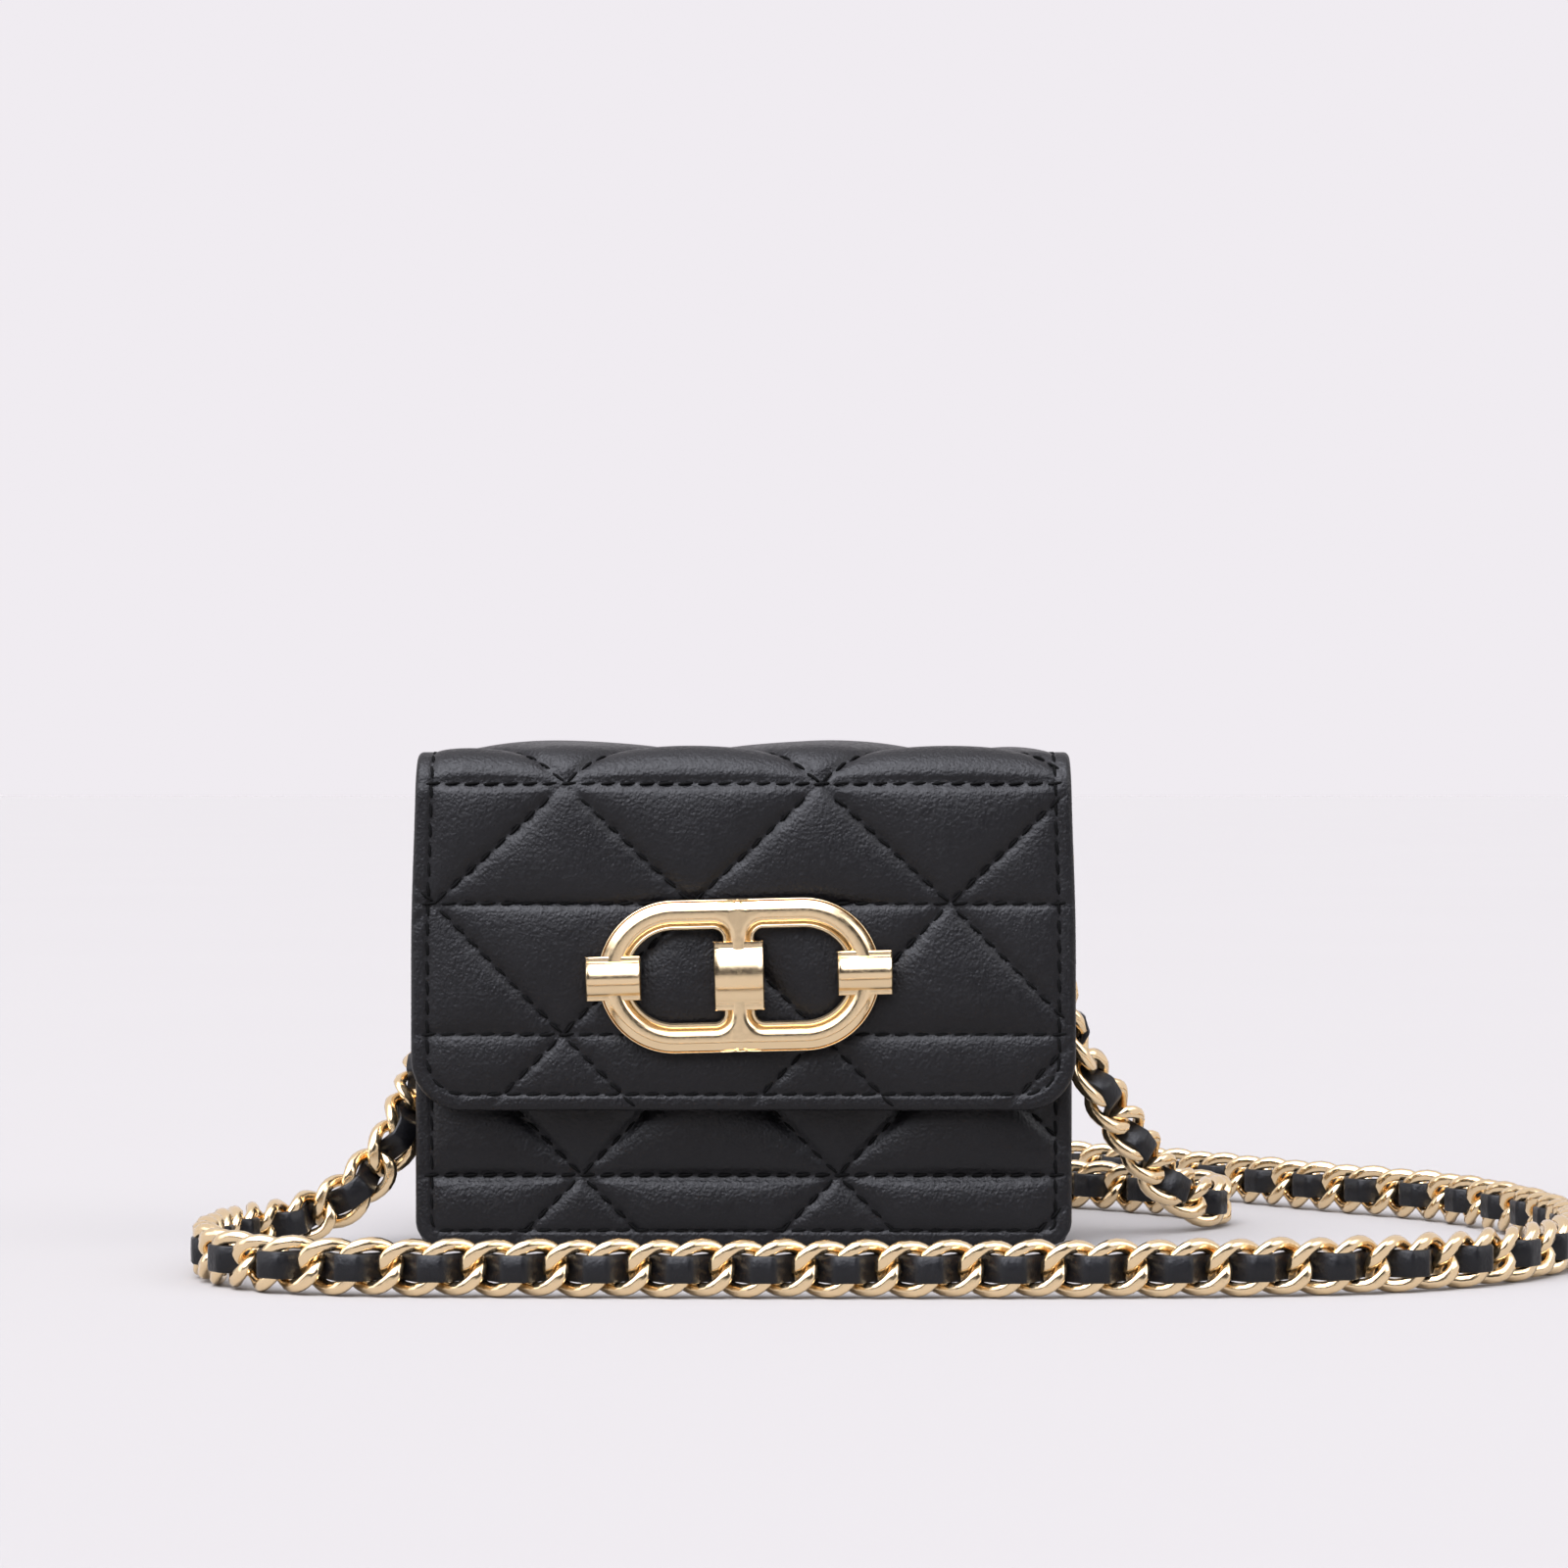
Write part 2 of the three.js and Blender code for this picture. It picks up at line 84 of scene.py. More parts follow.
def new_mesh(name, points, faces, material, smooth=True):
    """An object in the scene, from points in metres."""
    mesh = bpy.data.meshes.new(name)
    mesh.from_pydata([tuple(p) for p in points], [], faces)
    mesh.validate()
    mesh.update()
    if smooth:
        mesh.polygons.foreach_set("use_smooth", [True] * len(mesh.polygons))
    mesh.materials.append(material)
    return add_object(name, mesh)


def face_outwards(obj, merge=0.0):
    """Turns the faces outwards, once the vertices closer together than merge are one."""
    work = bmesh.new()
    work.from_mesh(obj.data)
    if merge > 0:
        bmesh.ops.remove_doubles(work, verts=work.verts, dist=merge)
    bmesh.ops.recalc_face_normals(work, faces=work.faces)
    work.to_mesh(obj.data)
    work.free()
    return obj


def mark_sharp(obj, degrees):
    """Smooth shading that breaks at edges sharper than the angle."""
    work = bmesh.new()
    work.from_mesh(obj.data)
    limit = math.radians(degrees)
    for edge in work.edges:
        edge.smooth = len(edge.link_faces) == 2 and edge.calc_face_angle(0) < limit
    work.to_mesh(obj.data)
    work.free()


def smoothstep(t):
    """0 up to t = 0, 1 from t = 1, and an easy curve between."""
    t = np.clip(t, 0.0, 1.0)
    return t * t * (3 - 2 * t)


def unit(v):
    """Vectors brought to length 1."""
    return v / np.maximum(np.linalg.norm(v, axis=-1, keepdims=True), 1e-12)


def rings_round(centres, side, up, radius, count):
    """Points on circles round the centres, in the planes of side and up."""
    a = np.linspace(0, 2 * math.pi, count, endpoint=False)
    ring = side[:, None] * np.cos(a)[None, :, None] + up[:, None] * np.sin(a)[None, :, None]
    return centres[:, None] + ring * radius


def wire_loop(name, centres, wire):
    """A closed loop of round gold wire along points in a plane."""
    p = np.array(centres, float)
    tangent = unit(np.roll(p, -1, axis=0) - np.roll(p, 1, axis=0))
    flat = unit(np.cross(p[1] - p[0], p[len(p) // 3] - p[0]))
    side = unit(np.cross(tangent, flat))
    points = rings_round(p, side, np.cross(side, tangent), wire / 2, WIRE_SIDES).reshape(-1, 3)
    return face_outwards(new_mesh(name, points * MM, grid_faces(len(p), WIRE_SIDES, True, True), GOLD))


def rounded_loop(corners, radii, per_arc):
    """A closed outline in two dimensions through the corners, each rounded with its own radius."""
    corners = np.array(corners, float)
    out = []
    for i, radius in enumerate(radii):
        p, a, b = corners[i], corners[i - 1], corners[(i + 1) % len(corners)]
        to_a, to_b = unit(a - p), unit(b - p)
        half = math.acos(np.clip(to_a @ to_b, -1, 1)) / 2
        reach = radius / math.tan(half)
        centre = p + unit(to_a + to_b) * radius / math.sin(half)
        start, end = p + to_a * reach - centre, p + to_b * reach - centre
        for t in np.linspace(0, 1, per_arc):
            v = unit(start * (1 - t) + end * t)
            out.append(centre + v * radius)
    return np.array(out)


def attach(piece, body, slot, *nodes):
    """The piece rides on the body and stands for the nodes, if any; slot is not used."""
    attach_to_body(piece, body)
    if nodes:
        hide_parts(*nodes)


# ---- materials

class Nodes:
    """A material's node tree with short calls for the nodes used here."""

    def __init__(self, name):
        self.material = bpy.data.materials.new(name)
        self.material.use_nodes = True
        self.tree = self.material.node_tree
        self.shader = self.tree.nodes["Principled BSDF"]
        self.place = self.tree.nodes.new("ShaderNodeTexCoord").outputs["Object"]

    def link(self, a, b):
        self.tree.links.new(a, b)

    def set(self, socket, value):
        self.shader.inputs[socket].default_value = value

    def drive(self, socket, output):
        self.link(output, self.shader.inputs[socket])

    def noise(self, scale, detail, roughness=0.55, stretch=None):
        node = self.tree.nodes.new("ShaderNodeTexNoise")
        node.inputs["Scale"].default_value = scale
        node.inputs["Detail"].default_value = detail
        node.inputs["Roughness"].default_value = roughness
        self.link(self.stretched(stretch) if stretch else self.place, node.inputs["Vector"])
        return node.outputs["Fac"]

    def cells(self, scale):
        node = self.tree.nodes.new("ShaderNodeTexVoronoi")
        node.feature = "SMOOTH_F1"
        node.inputs["Scale"].default_value = scale
        self.link(self.place, node.inputs["Vector"])
        return node.outputs["Distance"]

    def waves(self, scale, axis, distortion):
        node = self.tree.nodes.new("ShaderNodeTexWave")
        node.bands_direction = axis
        node.inputs["Scale"].default_value = scale
        node.inputs["Distortion"].default_value = distortion
        self.link(self.place, node.inputs["Vector"])
        return node.outputs["Fac"]

    def stretched(self, stretch):
        node = self.tree.nodes.new("ShaderNodeMapping")
        node.inputs["Scale"].default_value = stretch
        self.link(self.place, node.inputs["Vector"])
        return node.outputs["Vector"]

    def ramp(self, value, low, high, start=0.0, end=1.0):
        """From low to high, each a colour or a level, as the value goes from start to end."""
        node = self.tree.nodes.new("ShaderNodeValToRGB")
        node.color_ramp.elements[0].position = start
        node.color_ramp.elements[1].position = end
        for element, level in zip(node.color_ramp.elements, (low, high)):
            element.color = (*level, 1) if isinstance(level, tuple) else (level, level, level, 1)
        self.link(value, node.inputs["Fac"])
        return node.outputs["Color"]

    def bumps(self, *heights):
        """Chains bump nodes: each entry is (height, strength, distance in metres)."""
        normal = None
        for height, strength, distance in heights:
            node = self.tree.nodes.new("ShaderNodeBump")
            node.inputs["Strength"].default_value = strength
            node.inputs["Distance"].default_value = distance
            self.link(height, node.inputs["Height"])
            if normal is not None:
                self.link(normal, node.inputs["Normal"])
            normal = node.outputs["Normal"]
        self.drive("Normal", normal)


def leather_material(name, dark, light, roughness=(0.34, 0.50), grain=1.0):
    n = Nodes(name)
    n.drive("Base Color", n.ramp(n.noise(60, 4), dark, light, 0.3, 0.75))
    n.drive("Roughness", n.ramp(n.noise(1100, 2), roughness[0], roughness[1], 0.35, 0.7))
    n.set("Specular IOR Level", 0.30)
    pebbles = n.cells(1900)
    creases = n.noise(2200, 3, 0.6, (1.0, 1.0, 0.6))
    swell = n.noise(200, 2)
    n.bumps((swell, 0.3, 0.0005), (creases, grain * 0.8, 0.00014), (pebbles, grain * 0.7, 0.00014))
    return n.material


def gold_material():
    n = Nodes("pale_gold")
    n.drive("Base Color", n.ramp(n.noise(300, 3), (0.82, 0.62, 0.37), (0.88, 0.69, 0.43)))
    n.set("Metallic", 1.0)
    n.drive("Roughness", n.ramp(n.noise(1200, 3), 0.15, 0.24, 0.35, 0.7))
    n.bumps((n.noise(700, 2), 0.06, 0.00008))
    return n.material


def thread_material():
    n = Nodes("black_thread")
    n.drive("Base Color", n.ramp(n.noise(3000, 2), 0.0012, 0.004))
    n.set("Roughness", 0.9)
    n.set("Specular IOR Level", 0.12)
    n.bumps((n.waves(1500, "DIAGONAL", 1.0), 0.4, 0.00006))
    return n.material


def lining_material():
    n = Nodes("black_lining")
    n.drive("Base Color", n.ramp(n.noise(500, 3), 0.012, 0.024))
    n.set("Roughness", 0.8)
    n.set("Sheen Weight", 0.15)
    across = n.waves(520, "X", 0.3)
    along = n.waves(520, "Z", 0.3)
    n.bumps((across, 0.25, 0.00008), (along, 0.25, 0.00008))
    return n.material


def steel_material():
    n = Nodes("fixing_steel")
    n.drive("Base Color", n.ramp(n.noise(400, 3), (0.48, 0.48, 0.47), (0.6, 0.6, 0.58)))
    n.set("Roughness", 0.35)
    n.set("Metallic", 1.0)
    n.bumps((n.noise(1200, 3), 0.25, 0.0001))
    return n.material


LEATHER = leather_material("quilted_leather", (0.0026, 0.0024, 0.0032), (0.0044, 0.0042, 0.0053))
EDGE_LEATHER = leather_material(
    "edge_leather", (0.005, 0.005, 0.006), (0.008, 0.008, 0.0095), roughness=(0.42, 0.55), grain=0.5)
RIBBON_LEATHER = leather_material(
    "ribbon_leather", (0.004, 0.004, 0.005), (0.007, 0.007, 0.0085), roughness=(0.3, 0.45), grain=0.4)
GOLD = gold_material()
THREAD = thread_material()
LINING = lining_material()
STEEL = steel_material()


# ---- the set: camera, floor and light

CAMERA_AT = (0.007, -0.798, 0.081)
LENS_MM = 104.06
SENSOR_MM = 36.0


def make_camera():
    """A level camera in front of the purse, a little to the right of its middle."""
    data = bpy.data.cameras.new("camera")
    data.lens = LENS_MM
    data.sensor_width = SENSOR_MM
    camera = add_object("camera", data)
    camera.location = CAMERA_AT
    camera.rotation_euler = (math.pi / 2, 0, 0)
    bpy.context.scene.camera = camera


PALE = (0.871, 0.838, 0.879)
FLOOR_SIZE = 60.0
FLOOR_MOTTLE = 0.01
FLOOR_TONE = (0.399, 0.398, 0.367)   # the studio's light brings the paper up to the pale surround


def make_floor():
    """One wide sheet of pale paper."""
    half = FLOOR_SIZE / 2
    points = [(-half, -half, 0), (half, -half, 0), (half, half, 0), (-half, half, 0)]
    n = Nodes("floor_paper")
    paper = [c * tone for c, tone in zip(PALE, FLOOR_TONE)]
    dark, light = (tuple(c * k for c in paper) for k in (1 - FLOOR_MOTTLE, 1 + FLOOR_MOTTLE))
    n.drive("Base Color", n.ramp(n.noise(3, 2), dark, light))
    n.set("Roughness", 1.0)
    n.set("Specular IOR Level", 0.0)
    new_mesh("floor", points, [(0, 1, 2, 3)], n.material, smooth=False)


def make_key_light():
    """A soft light above and in front of the purse, to its left."""
    data = bpy.data.lights.new("key_softbox", "AREA")
    data.shape = "RECTANGLE"
    data.size, data.size_y = KEY_SIZE
    data.energy = KEY_WATTS
    data.color = KEY_COLOUR
    lamp = add_object("key_softbox", data)
    lamp.location = KEY_AT
    lamp.rotation_euler = (Vector(KEY_TARGET) - Vector(KEY_AT)).to_track_quat("-Z", "Y").to_euler()


# the studio round the purse: (direction, cosines where it fades in and is full, radiance)
SOFTBOXES = [
    ((-0.28, -0.55, 0.86), 0.70, 0.97, (7.0, 7.1, 7.8)),
    ((0.80, -0.30, 0.60), 0.91, 0.96, (3.0, 3.0, 3.1)),
    ((-0.95, -0.15, 0.30), 0.93, 0.975, (2.2, 2.2, 2.3)),
]
DARK_SIDE = ((0.0, -0.98, 0.18), 0.30, 0.80, (0.06, 0.06, 0.07))
KEY_AT, KEY_TARGET = (-0.9, -1.6, 2.4), (0, 0, 0.04)
KEY_SIZE, KEY_WATTS, KEY_COLOUR = (0.9, 0.9), 5.0, (0.97, 0.98, 1.0)


def make_studio():
    """A pale surround with softboxes, and a dark side that faces the purse's front."""
    world = bpy.data.worlds.new("studio")
    world.use_nodes = True
    bpy.context.scene.world = world
    new, link = world.node_tree.nodes.new, world.node_tree.links.new
    seen = new("ShaderNodeVectorMath")
    seen.operation = "NORMALIZE"
    link(new("ShaderNodeTexCoord").outputs["Generated"], seen.inputs[0])
    colour = None
    for way, start, full, radiance in [DARK_SIDE] + SOFTBOXES:
        dot = new("ShaderNodeVectorMath")
        dot.operation = "DOT_PRODUCT"
        dot.inputs[1].default_value = Vector(way).normalized()
        link(seen.outputs["Vector"], dot.inputs[0])
        fade = new("ShaderNodeMapRange")
        fade.interpolation_type = "SMOOTHSTEP"
        fade.inputs["From Min"].default_value = start
        fade.inputs["From Max"].default_value = full
        link(dot.outputs["Value"], fade.inputs["Value"])
        mix = new("ShaderNodeMixRGB")
        mix.inputs["Color1"].default_value = (*PALE, 1)
        mix.inputs["Color2"].default_value = (*radiance, 1)
        link(fade.outputs["Result"], mix.inputs["Fac"])
        if colour is not None:
            link(colour, mix.inputs["Color1"])
        colour = mix.outputs["Color"]
    link(colour, world.node_tree.nodes["Background"].inputs["Color"])
    bpy.context.scene.view_settings.view_transform = "Standard"


make_camera()
make_floor()
make_studio()
make_key_light()


# ---- the strap: a curb chain woven with a ribbon

STRAP_WIDTH = 9.0
PITCH = 6.55                    # from one link to the next
WIRE = 2.25
LINK_HALF = (4.3, 3.5)          # along the strap and across it
LINK_ROUNDNESS = (0.86, 0.74)   # exponents below 1 square the oval
LINK_TWIST = math.radians(47)
LINK_CUT = 2.12                 # both faces of the chain are cut flat here
END_GAP = 2.0                   # from the strap's ends to its first and last pitch
RIBBON_GAP = 1.0
WEAVE = 1.72                    # how far the ribbon rises over a junction
LIE = STRAP_WIDTH / 2 + 0.2     # its middle line's height where it stands on edge on the floor
CROSS = LIE + STRAP_WIDTH + 0.9
STRAP_ENDS = ((-56.0, 3.25, 59.3), (56.0, 3.25, 59.3))
# the route of its middle line, in millimetres, as it is laid
STRAP_ROUTE = [
    STRAP_ENDS[0], (-55.7, 3, 47), (-55.7, 2.4, 37), (-57.2, -0.6, 28), (-61.2, -4.6, 18.5),
    (-67.4, -7.5, 10.6), (-75, -10, 6), (-81.5, -15.5, LIE), (-86, -25, LIE), (-88.2, -38, LIE),
    (-88.2, -52, LIE), (-84, -66, LIE), (-74, -77, LIE), (-60, -81.5, LIE), (-40, -83, LIE),
    (-15, -84, LIE), (10, -84.5, LIE), (35, -84.5, LIE), (60, -84, LIE), (81, -82.2, LIE),
    (103, -77, LIE), (123, -64, LIE), (137, -43, LIE), (141.6, -19, LIE), (140, 5, LIE),
    (135, 25, LIE), (127, 42, LIE), (114, 56.5, LIE), (104, 68, LIE), (94, 81, LIE),
    (77, 101, LIE), (60, 115.5, LIE), (42, 127, LIE), (20, 133.5, LIE), (-6, 134, LIE),
    (-26, 133.5, LIE), (-39, 128.5, LIE), (-44, 116, LIE), (-39, 103.5, LIE), (-26, 98.5, LIE),
    (-5, 98, LIE), (18, 97.5, 5.6), (35, 92.5, 9.6), (47, 81, CROSS), (50, 67, CROSS),
    (46, 52, 9.6), (36, 42, 5.6), (20, 38.5, LIE), (-5, 38, LIE), (-26, 38.5, LIE),
    (-39, 44, LIE), (-44.5, 57, LIE), (-39, 70, LIE), (-26, 75.5, LIE), (-5, 77, LIE),
    (20, 77.5, LIE), (42, 76.5, LIE), (56, 72, LIE), (67, 64, LIE), (77, 54, LIE),
    (84.5, 44, LIE), (87, 34, LIE), (82.5, 24.5, 5.4), (75.5, 17, 9.8), (68.4, 9.6, 19),
    (61.6, 4.6, 29.5), (57.6, 3.3, 40), (56, 3.2, 50), STRAP_ENDS[1],
]


def between(t, ta, tb, a, b):
    """In a straight line from a at ta to b at tb."""
    return (tb - t) / (tb - ta) * a + (t - ta) / (tb - ta) * b


def catmull_rom(points):
    """A centripetal Catmull-Rom curve through the points."""
    per_span = 24
    p = np.array(points, float)
    p = np.vstack([2 * p[0] - p[1], p, 2 * p[-1] - p[-2]])
    out = []
    for i in range(1, len(p) - 2):
        knots = [0.0]
        for j in range(3):
            knots.append(knots[-1] + math.sqrt(np.linalg.norm(p[i + j] - p[i + j - 1])))
        t0, t1, t2, t3 = knots
        t = np.linspace(t1, t2, per_span, endpoint=False)[:, None]
        a1 = between(t, t0, t1, p[i - 1], p[i])
        a2 = between(t, t1, t2, p[i], p[i + 1])
        a3 = between(t, t2, t3, p[i + 1], p[i + 2])
        b1 = between(t, t0, t2, a1, a2)
        b2 = between(t, t1, t3, a2, a3)
        out.append(between(t, t1, t2, b1, b2))
    out.append(p[-2][None])
    return np.vstack(out)


# heights over which the hung ends stop standing on edge, and then come to lie against the sides
HANGS, BESIDE = (17, 29), (24, 40)
BEHIND_Y = 30   # past this the strap is as high only where it crosses itself
LEAVING = {"left": (0, -1, 0), "right": (0.72, -0.69, 0)}
AT_SIDE = {"left": (-1, -0.05, 0), "right": (1, 0, 0)}


class Route:
    """The strap's middle line by arc length, with the directions across its width and through it."""

    def __init__(self, points):
        self.line = catmull_rom(points)
        steps = np.linalg.norm(np.diff(self.line, axis=0), axis=1)
        self.along = np.concatenate([[0], np.cumsum(steps)])
        self.length = self.along[-1]
        tangent = unit(np.gradient(self.line, axis=0))
        on_edge = np.cross([0, 0, 1], unit(tangent * np.array([1, 1, 0])))
        height = self.line[:, 2:3]
        hangs = smoothstep((height - HANGS[0]) / (HANGS[1] - HANGS[0])) * (self.line[:, 1:2] < BEHIND_Y)
        beside = smoothstep((height - BESIDE[0]) / (BESIDE[1] - BESIDE[0]))
        left = self.line[:, 0:1] < 0
        leaving = np.where(left, [LEAVING["left"]], [LEAVING["right"]])
        at_side = np.where(left, [AT_SIDE["left"]], [AT_SIDE["right"]])
        hung = unit(leaving * (1 - beside) + at_side * beside)
        through = unit(on_edge * (1 - hangs) + hung * hangs)
        self.width_way = unit(np.cross(tangent, through))
        self.through_way = np.cross(self.width_way, tangent)
        self.tangent = tangent

    def at(self, s, rows):
        return np.stack([np.interp(s, self.along, rows[:, k]) for k in range(3)], axis=-1)

    def place(self, s, across, through):
        """Points at arc length s, off to the side of the middle line."""
        beyond = s - np.clip(s, 0, self.length)
        line = self.at(s, self.line) + self.at(s, self.tangent) * beyond[..., None]
        width_way = unit(self.at(s, self.width_way))
        through_way = unit(self.at(s, self.through_way))
        return line + width_way * across[..., None] + through_way * through[..., None]


def make_link():
    """One curb link's surface in its own frame: along the strap, across it, and through it."""
    around, section = 28, 10
    t = np.linspace(0, 2 * math.pi, around, endpoint=False)
    x = LINK_HALF[0] * np.sign(np.cos(t)) * np.abs(np.cos(t)) ** LINK_ROUNDNESS[0]
    y = LINK_HALF[1] * np.sign(np.sin(t)) * np.abs(np.sin(t)) ** LINK_ROUNDNESS[1]
    twist = LINK_TWIST * x / LINK_HALF[0]
    centre = np.stack([x, y * np.cos(twist), y * np.sin(twist)], axis=1)
    tangent = unit(np.roll(centre, -1, axis=0) - np.roll(centre, 1, axis=0))
    side = unit(np.cross(tangent, [0, 0, 1.0]))
    surface = rings_round(centre, side, np.cross(side, tangent), WIRE / 2, section)
    surface[..., 2] = np.clip(surface[..., 2], -LINK_CUT, LINK_CUT)
    return surface.reshape(-1, 3), grid_faces(around, section, True, True)


def build_chain(route, count, pitch):
    link, link_faces = make_link()
    points, faces = [], []
    for k in range(-1, count + 1):  # the first and last links hang in the end links
        s = END_GAP + pitch * (k + 0.5)
        off_centre = 0.15 if k % 2 else -0.05
        faces += [tuple(len(points) * len(link) + q for q in f) for f in link_faces]
        points.append(route.place(s + link[:, 0], link[:, 1] + off_centre, link[:, 2]))
    return face_outwards(new_mesh("strap_chain", np.vstack(points) * MM, faces, GOLD))


def build_ribbon(route, count, pitch):
    """The ribbon passes over every second junction of the links and under the others."""
    section = np.array([(-2.15, -0.55), (-1.9, -0.78), (0, -0.82), (1.9, -0.78), (2.15, -0.55), (2.25, 0),
                        (2.15, 0.55), (1.9, 0.78), (0, 0.84), (-1.9, 0.78), (-2.15, 0.55), (-2.25, 0)])
    rows_per_link = 12
    s = np.linspace(RIBBON_GAP, route.length - RIBBON_GAP, count * rows_per_link)
    phase = (s - END_GAP) / pitch
    weave = WEAVE * np.clip(1.45 * np.cos(math.pi * phase), -1, 1)
    across = np.repeat(section[None, :, 0], len(s), axis=0)
    through = section[None, :, 1] + weave[:, None]
    points = route.place(np.repeat(s[:, None], len(section), axis=1), across, through)
    faces = tube_faces(len(s), len(section))
    return face_outwards(new_mesh("strap_ribbon", points.reshape(-1, 3) * MM, faces, RIBBON_LEATHER))


END_LINK_AT = (55.285, 3.25, 65.3)
END_LINK_HALF = (2.385, 5.0)
END_LINK_WIRE = 1.2


def end_link(side, sign):
    """The oval wire link between a D-ring and the chain."""
    x0, y0, z0 = END_LINK_AT
    w, h = END_LINK_HALF
    outline = rounded_loop([(-w, h), (w, h), (w, -h), (-w, -h)], [w - 0.01] * 4, 14)
    points = [(sign * (x0 + x), y0, z0 + z) for x, z in outline]
    return wire_loop(f"end_link_wire_{side}", points, END_LINK_WIRE)


route = Route(STRAP_ROUTE)
link_run = route.length - 2 * END_GAP
link_count = int(round(link_run / PITCH))
chain = build_chain(route, link_count, link_run / link_count)
ribbon = build_ribbon(route, link_count, link_run / link_count)
end_links = [end_link(side, sign) for side, sign in SIDES]
attach(chain, "bag", "pale_gold", "strap")
attach(ribbon, "bag", "leather")
for piece, (side, _) in zip(end_links, SIDES):
    attach(piece, "bag", "pale_gold", f"strap_end_link_{side}")


# ---- quilted leather

PUFF = 2.5           # how high the padding swells between the seams
THICKNESS = 2.0      # from the seams' level back to the lining
EDGE_INSET = 2.9     # the topstitching's distance from the edge
EDGE_RISE = 0.45     # the turned edge stands a little over the seams' level
TURN_IN = 3.4        # how far the leather goes on round the edge, to where the lining starts
STITCH = 3.4
# a stitch from end to end: places along it as parts of its half length, height, and the thread's radius
THREAD_ALONG = np.array([-1.0, -0.8, -0.4, 0.0, 0.4, 0.8, 1.0])
THREAD_LIFT = np.array([-0.32, 0.0, 0.17, 0.21, 0.17, 0.0, -0.32])
THREAD_RADIUS = np.array([0.07, 0.2, 0.25, 0.26, 0.25, 0.2, 0.07])
THREAD_SIDES = 6
THREAD_REACH, THREAD_SLANT = 0.43, 0.16   # half a stitch's length, as a part of its pitch, and its lean
SEAM_STEP = 22.3     # half the distance between crossings along a level seam
HALF_WIDTH = 57.4
RUN_ON = 10.0        # how far the topstitching's line goes on past an open end
PUCKER = 0.07        # the leather gathers at each stitch,
GROOVE = 0.12        # sinks along each seam,
SLACK = 0.16         # and waves a little everywhere
GRID = 0.55          # the membrane's grid, its rounds of relaxation and their overshoot
ROUNDS, OVERSHOOT = 420, 1.9
SEAM_HALF = 0.42     # a seam holds the membrane down over this far to both sides
CLOSED = (False, False)
NEAR_EDGE = (0, 0.05, 0.18, 0.38, 0.62, 0.95, 1.4, 1.9, 2.4, 2.75, 3.05, 3.5, 4.2)


def spaced(length, step, start_fine, end_fine):
    """Stations from 0 to length: close together near the ends that have a turned edge."""
    start = [d for d in NEAR_EDGE if d < length / 2] if start_fine else [0]
    end = [length - d for d in NEAR_EDGE if d < length / 2] if end_fine else [length]
    count = max(2, int(round((end[-1] - start[-1]) / step)))
    middle = np.linspace(start[-1], end[-1], count + 1)[1:-1]
    return np.array(start + list(middle) + end[::-1])


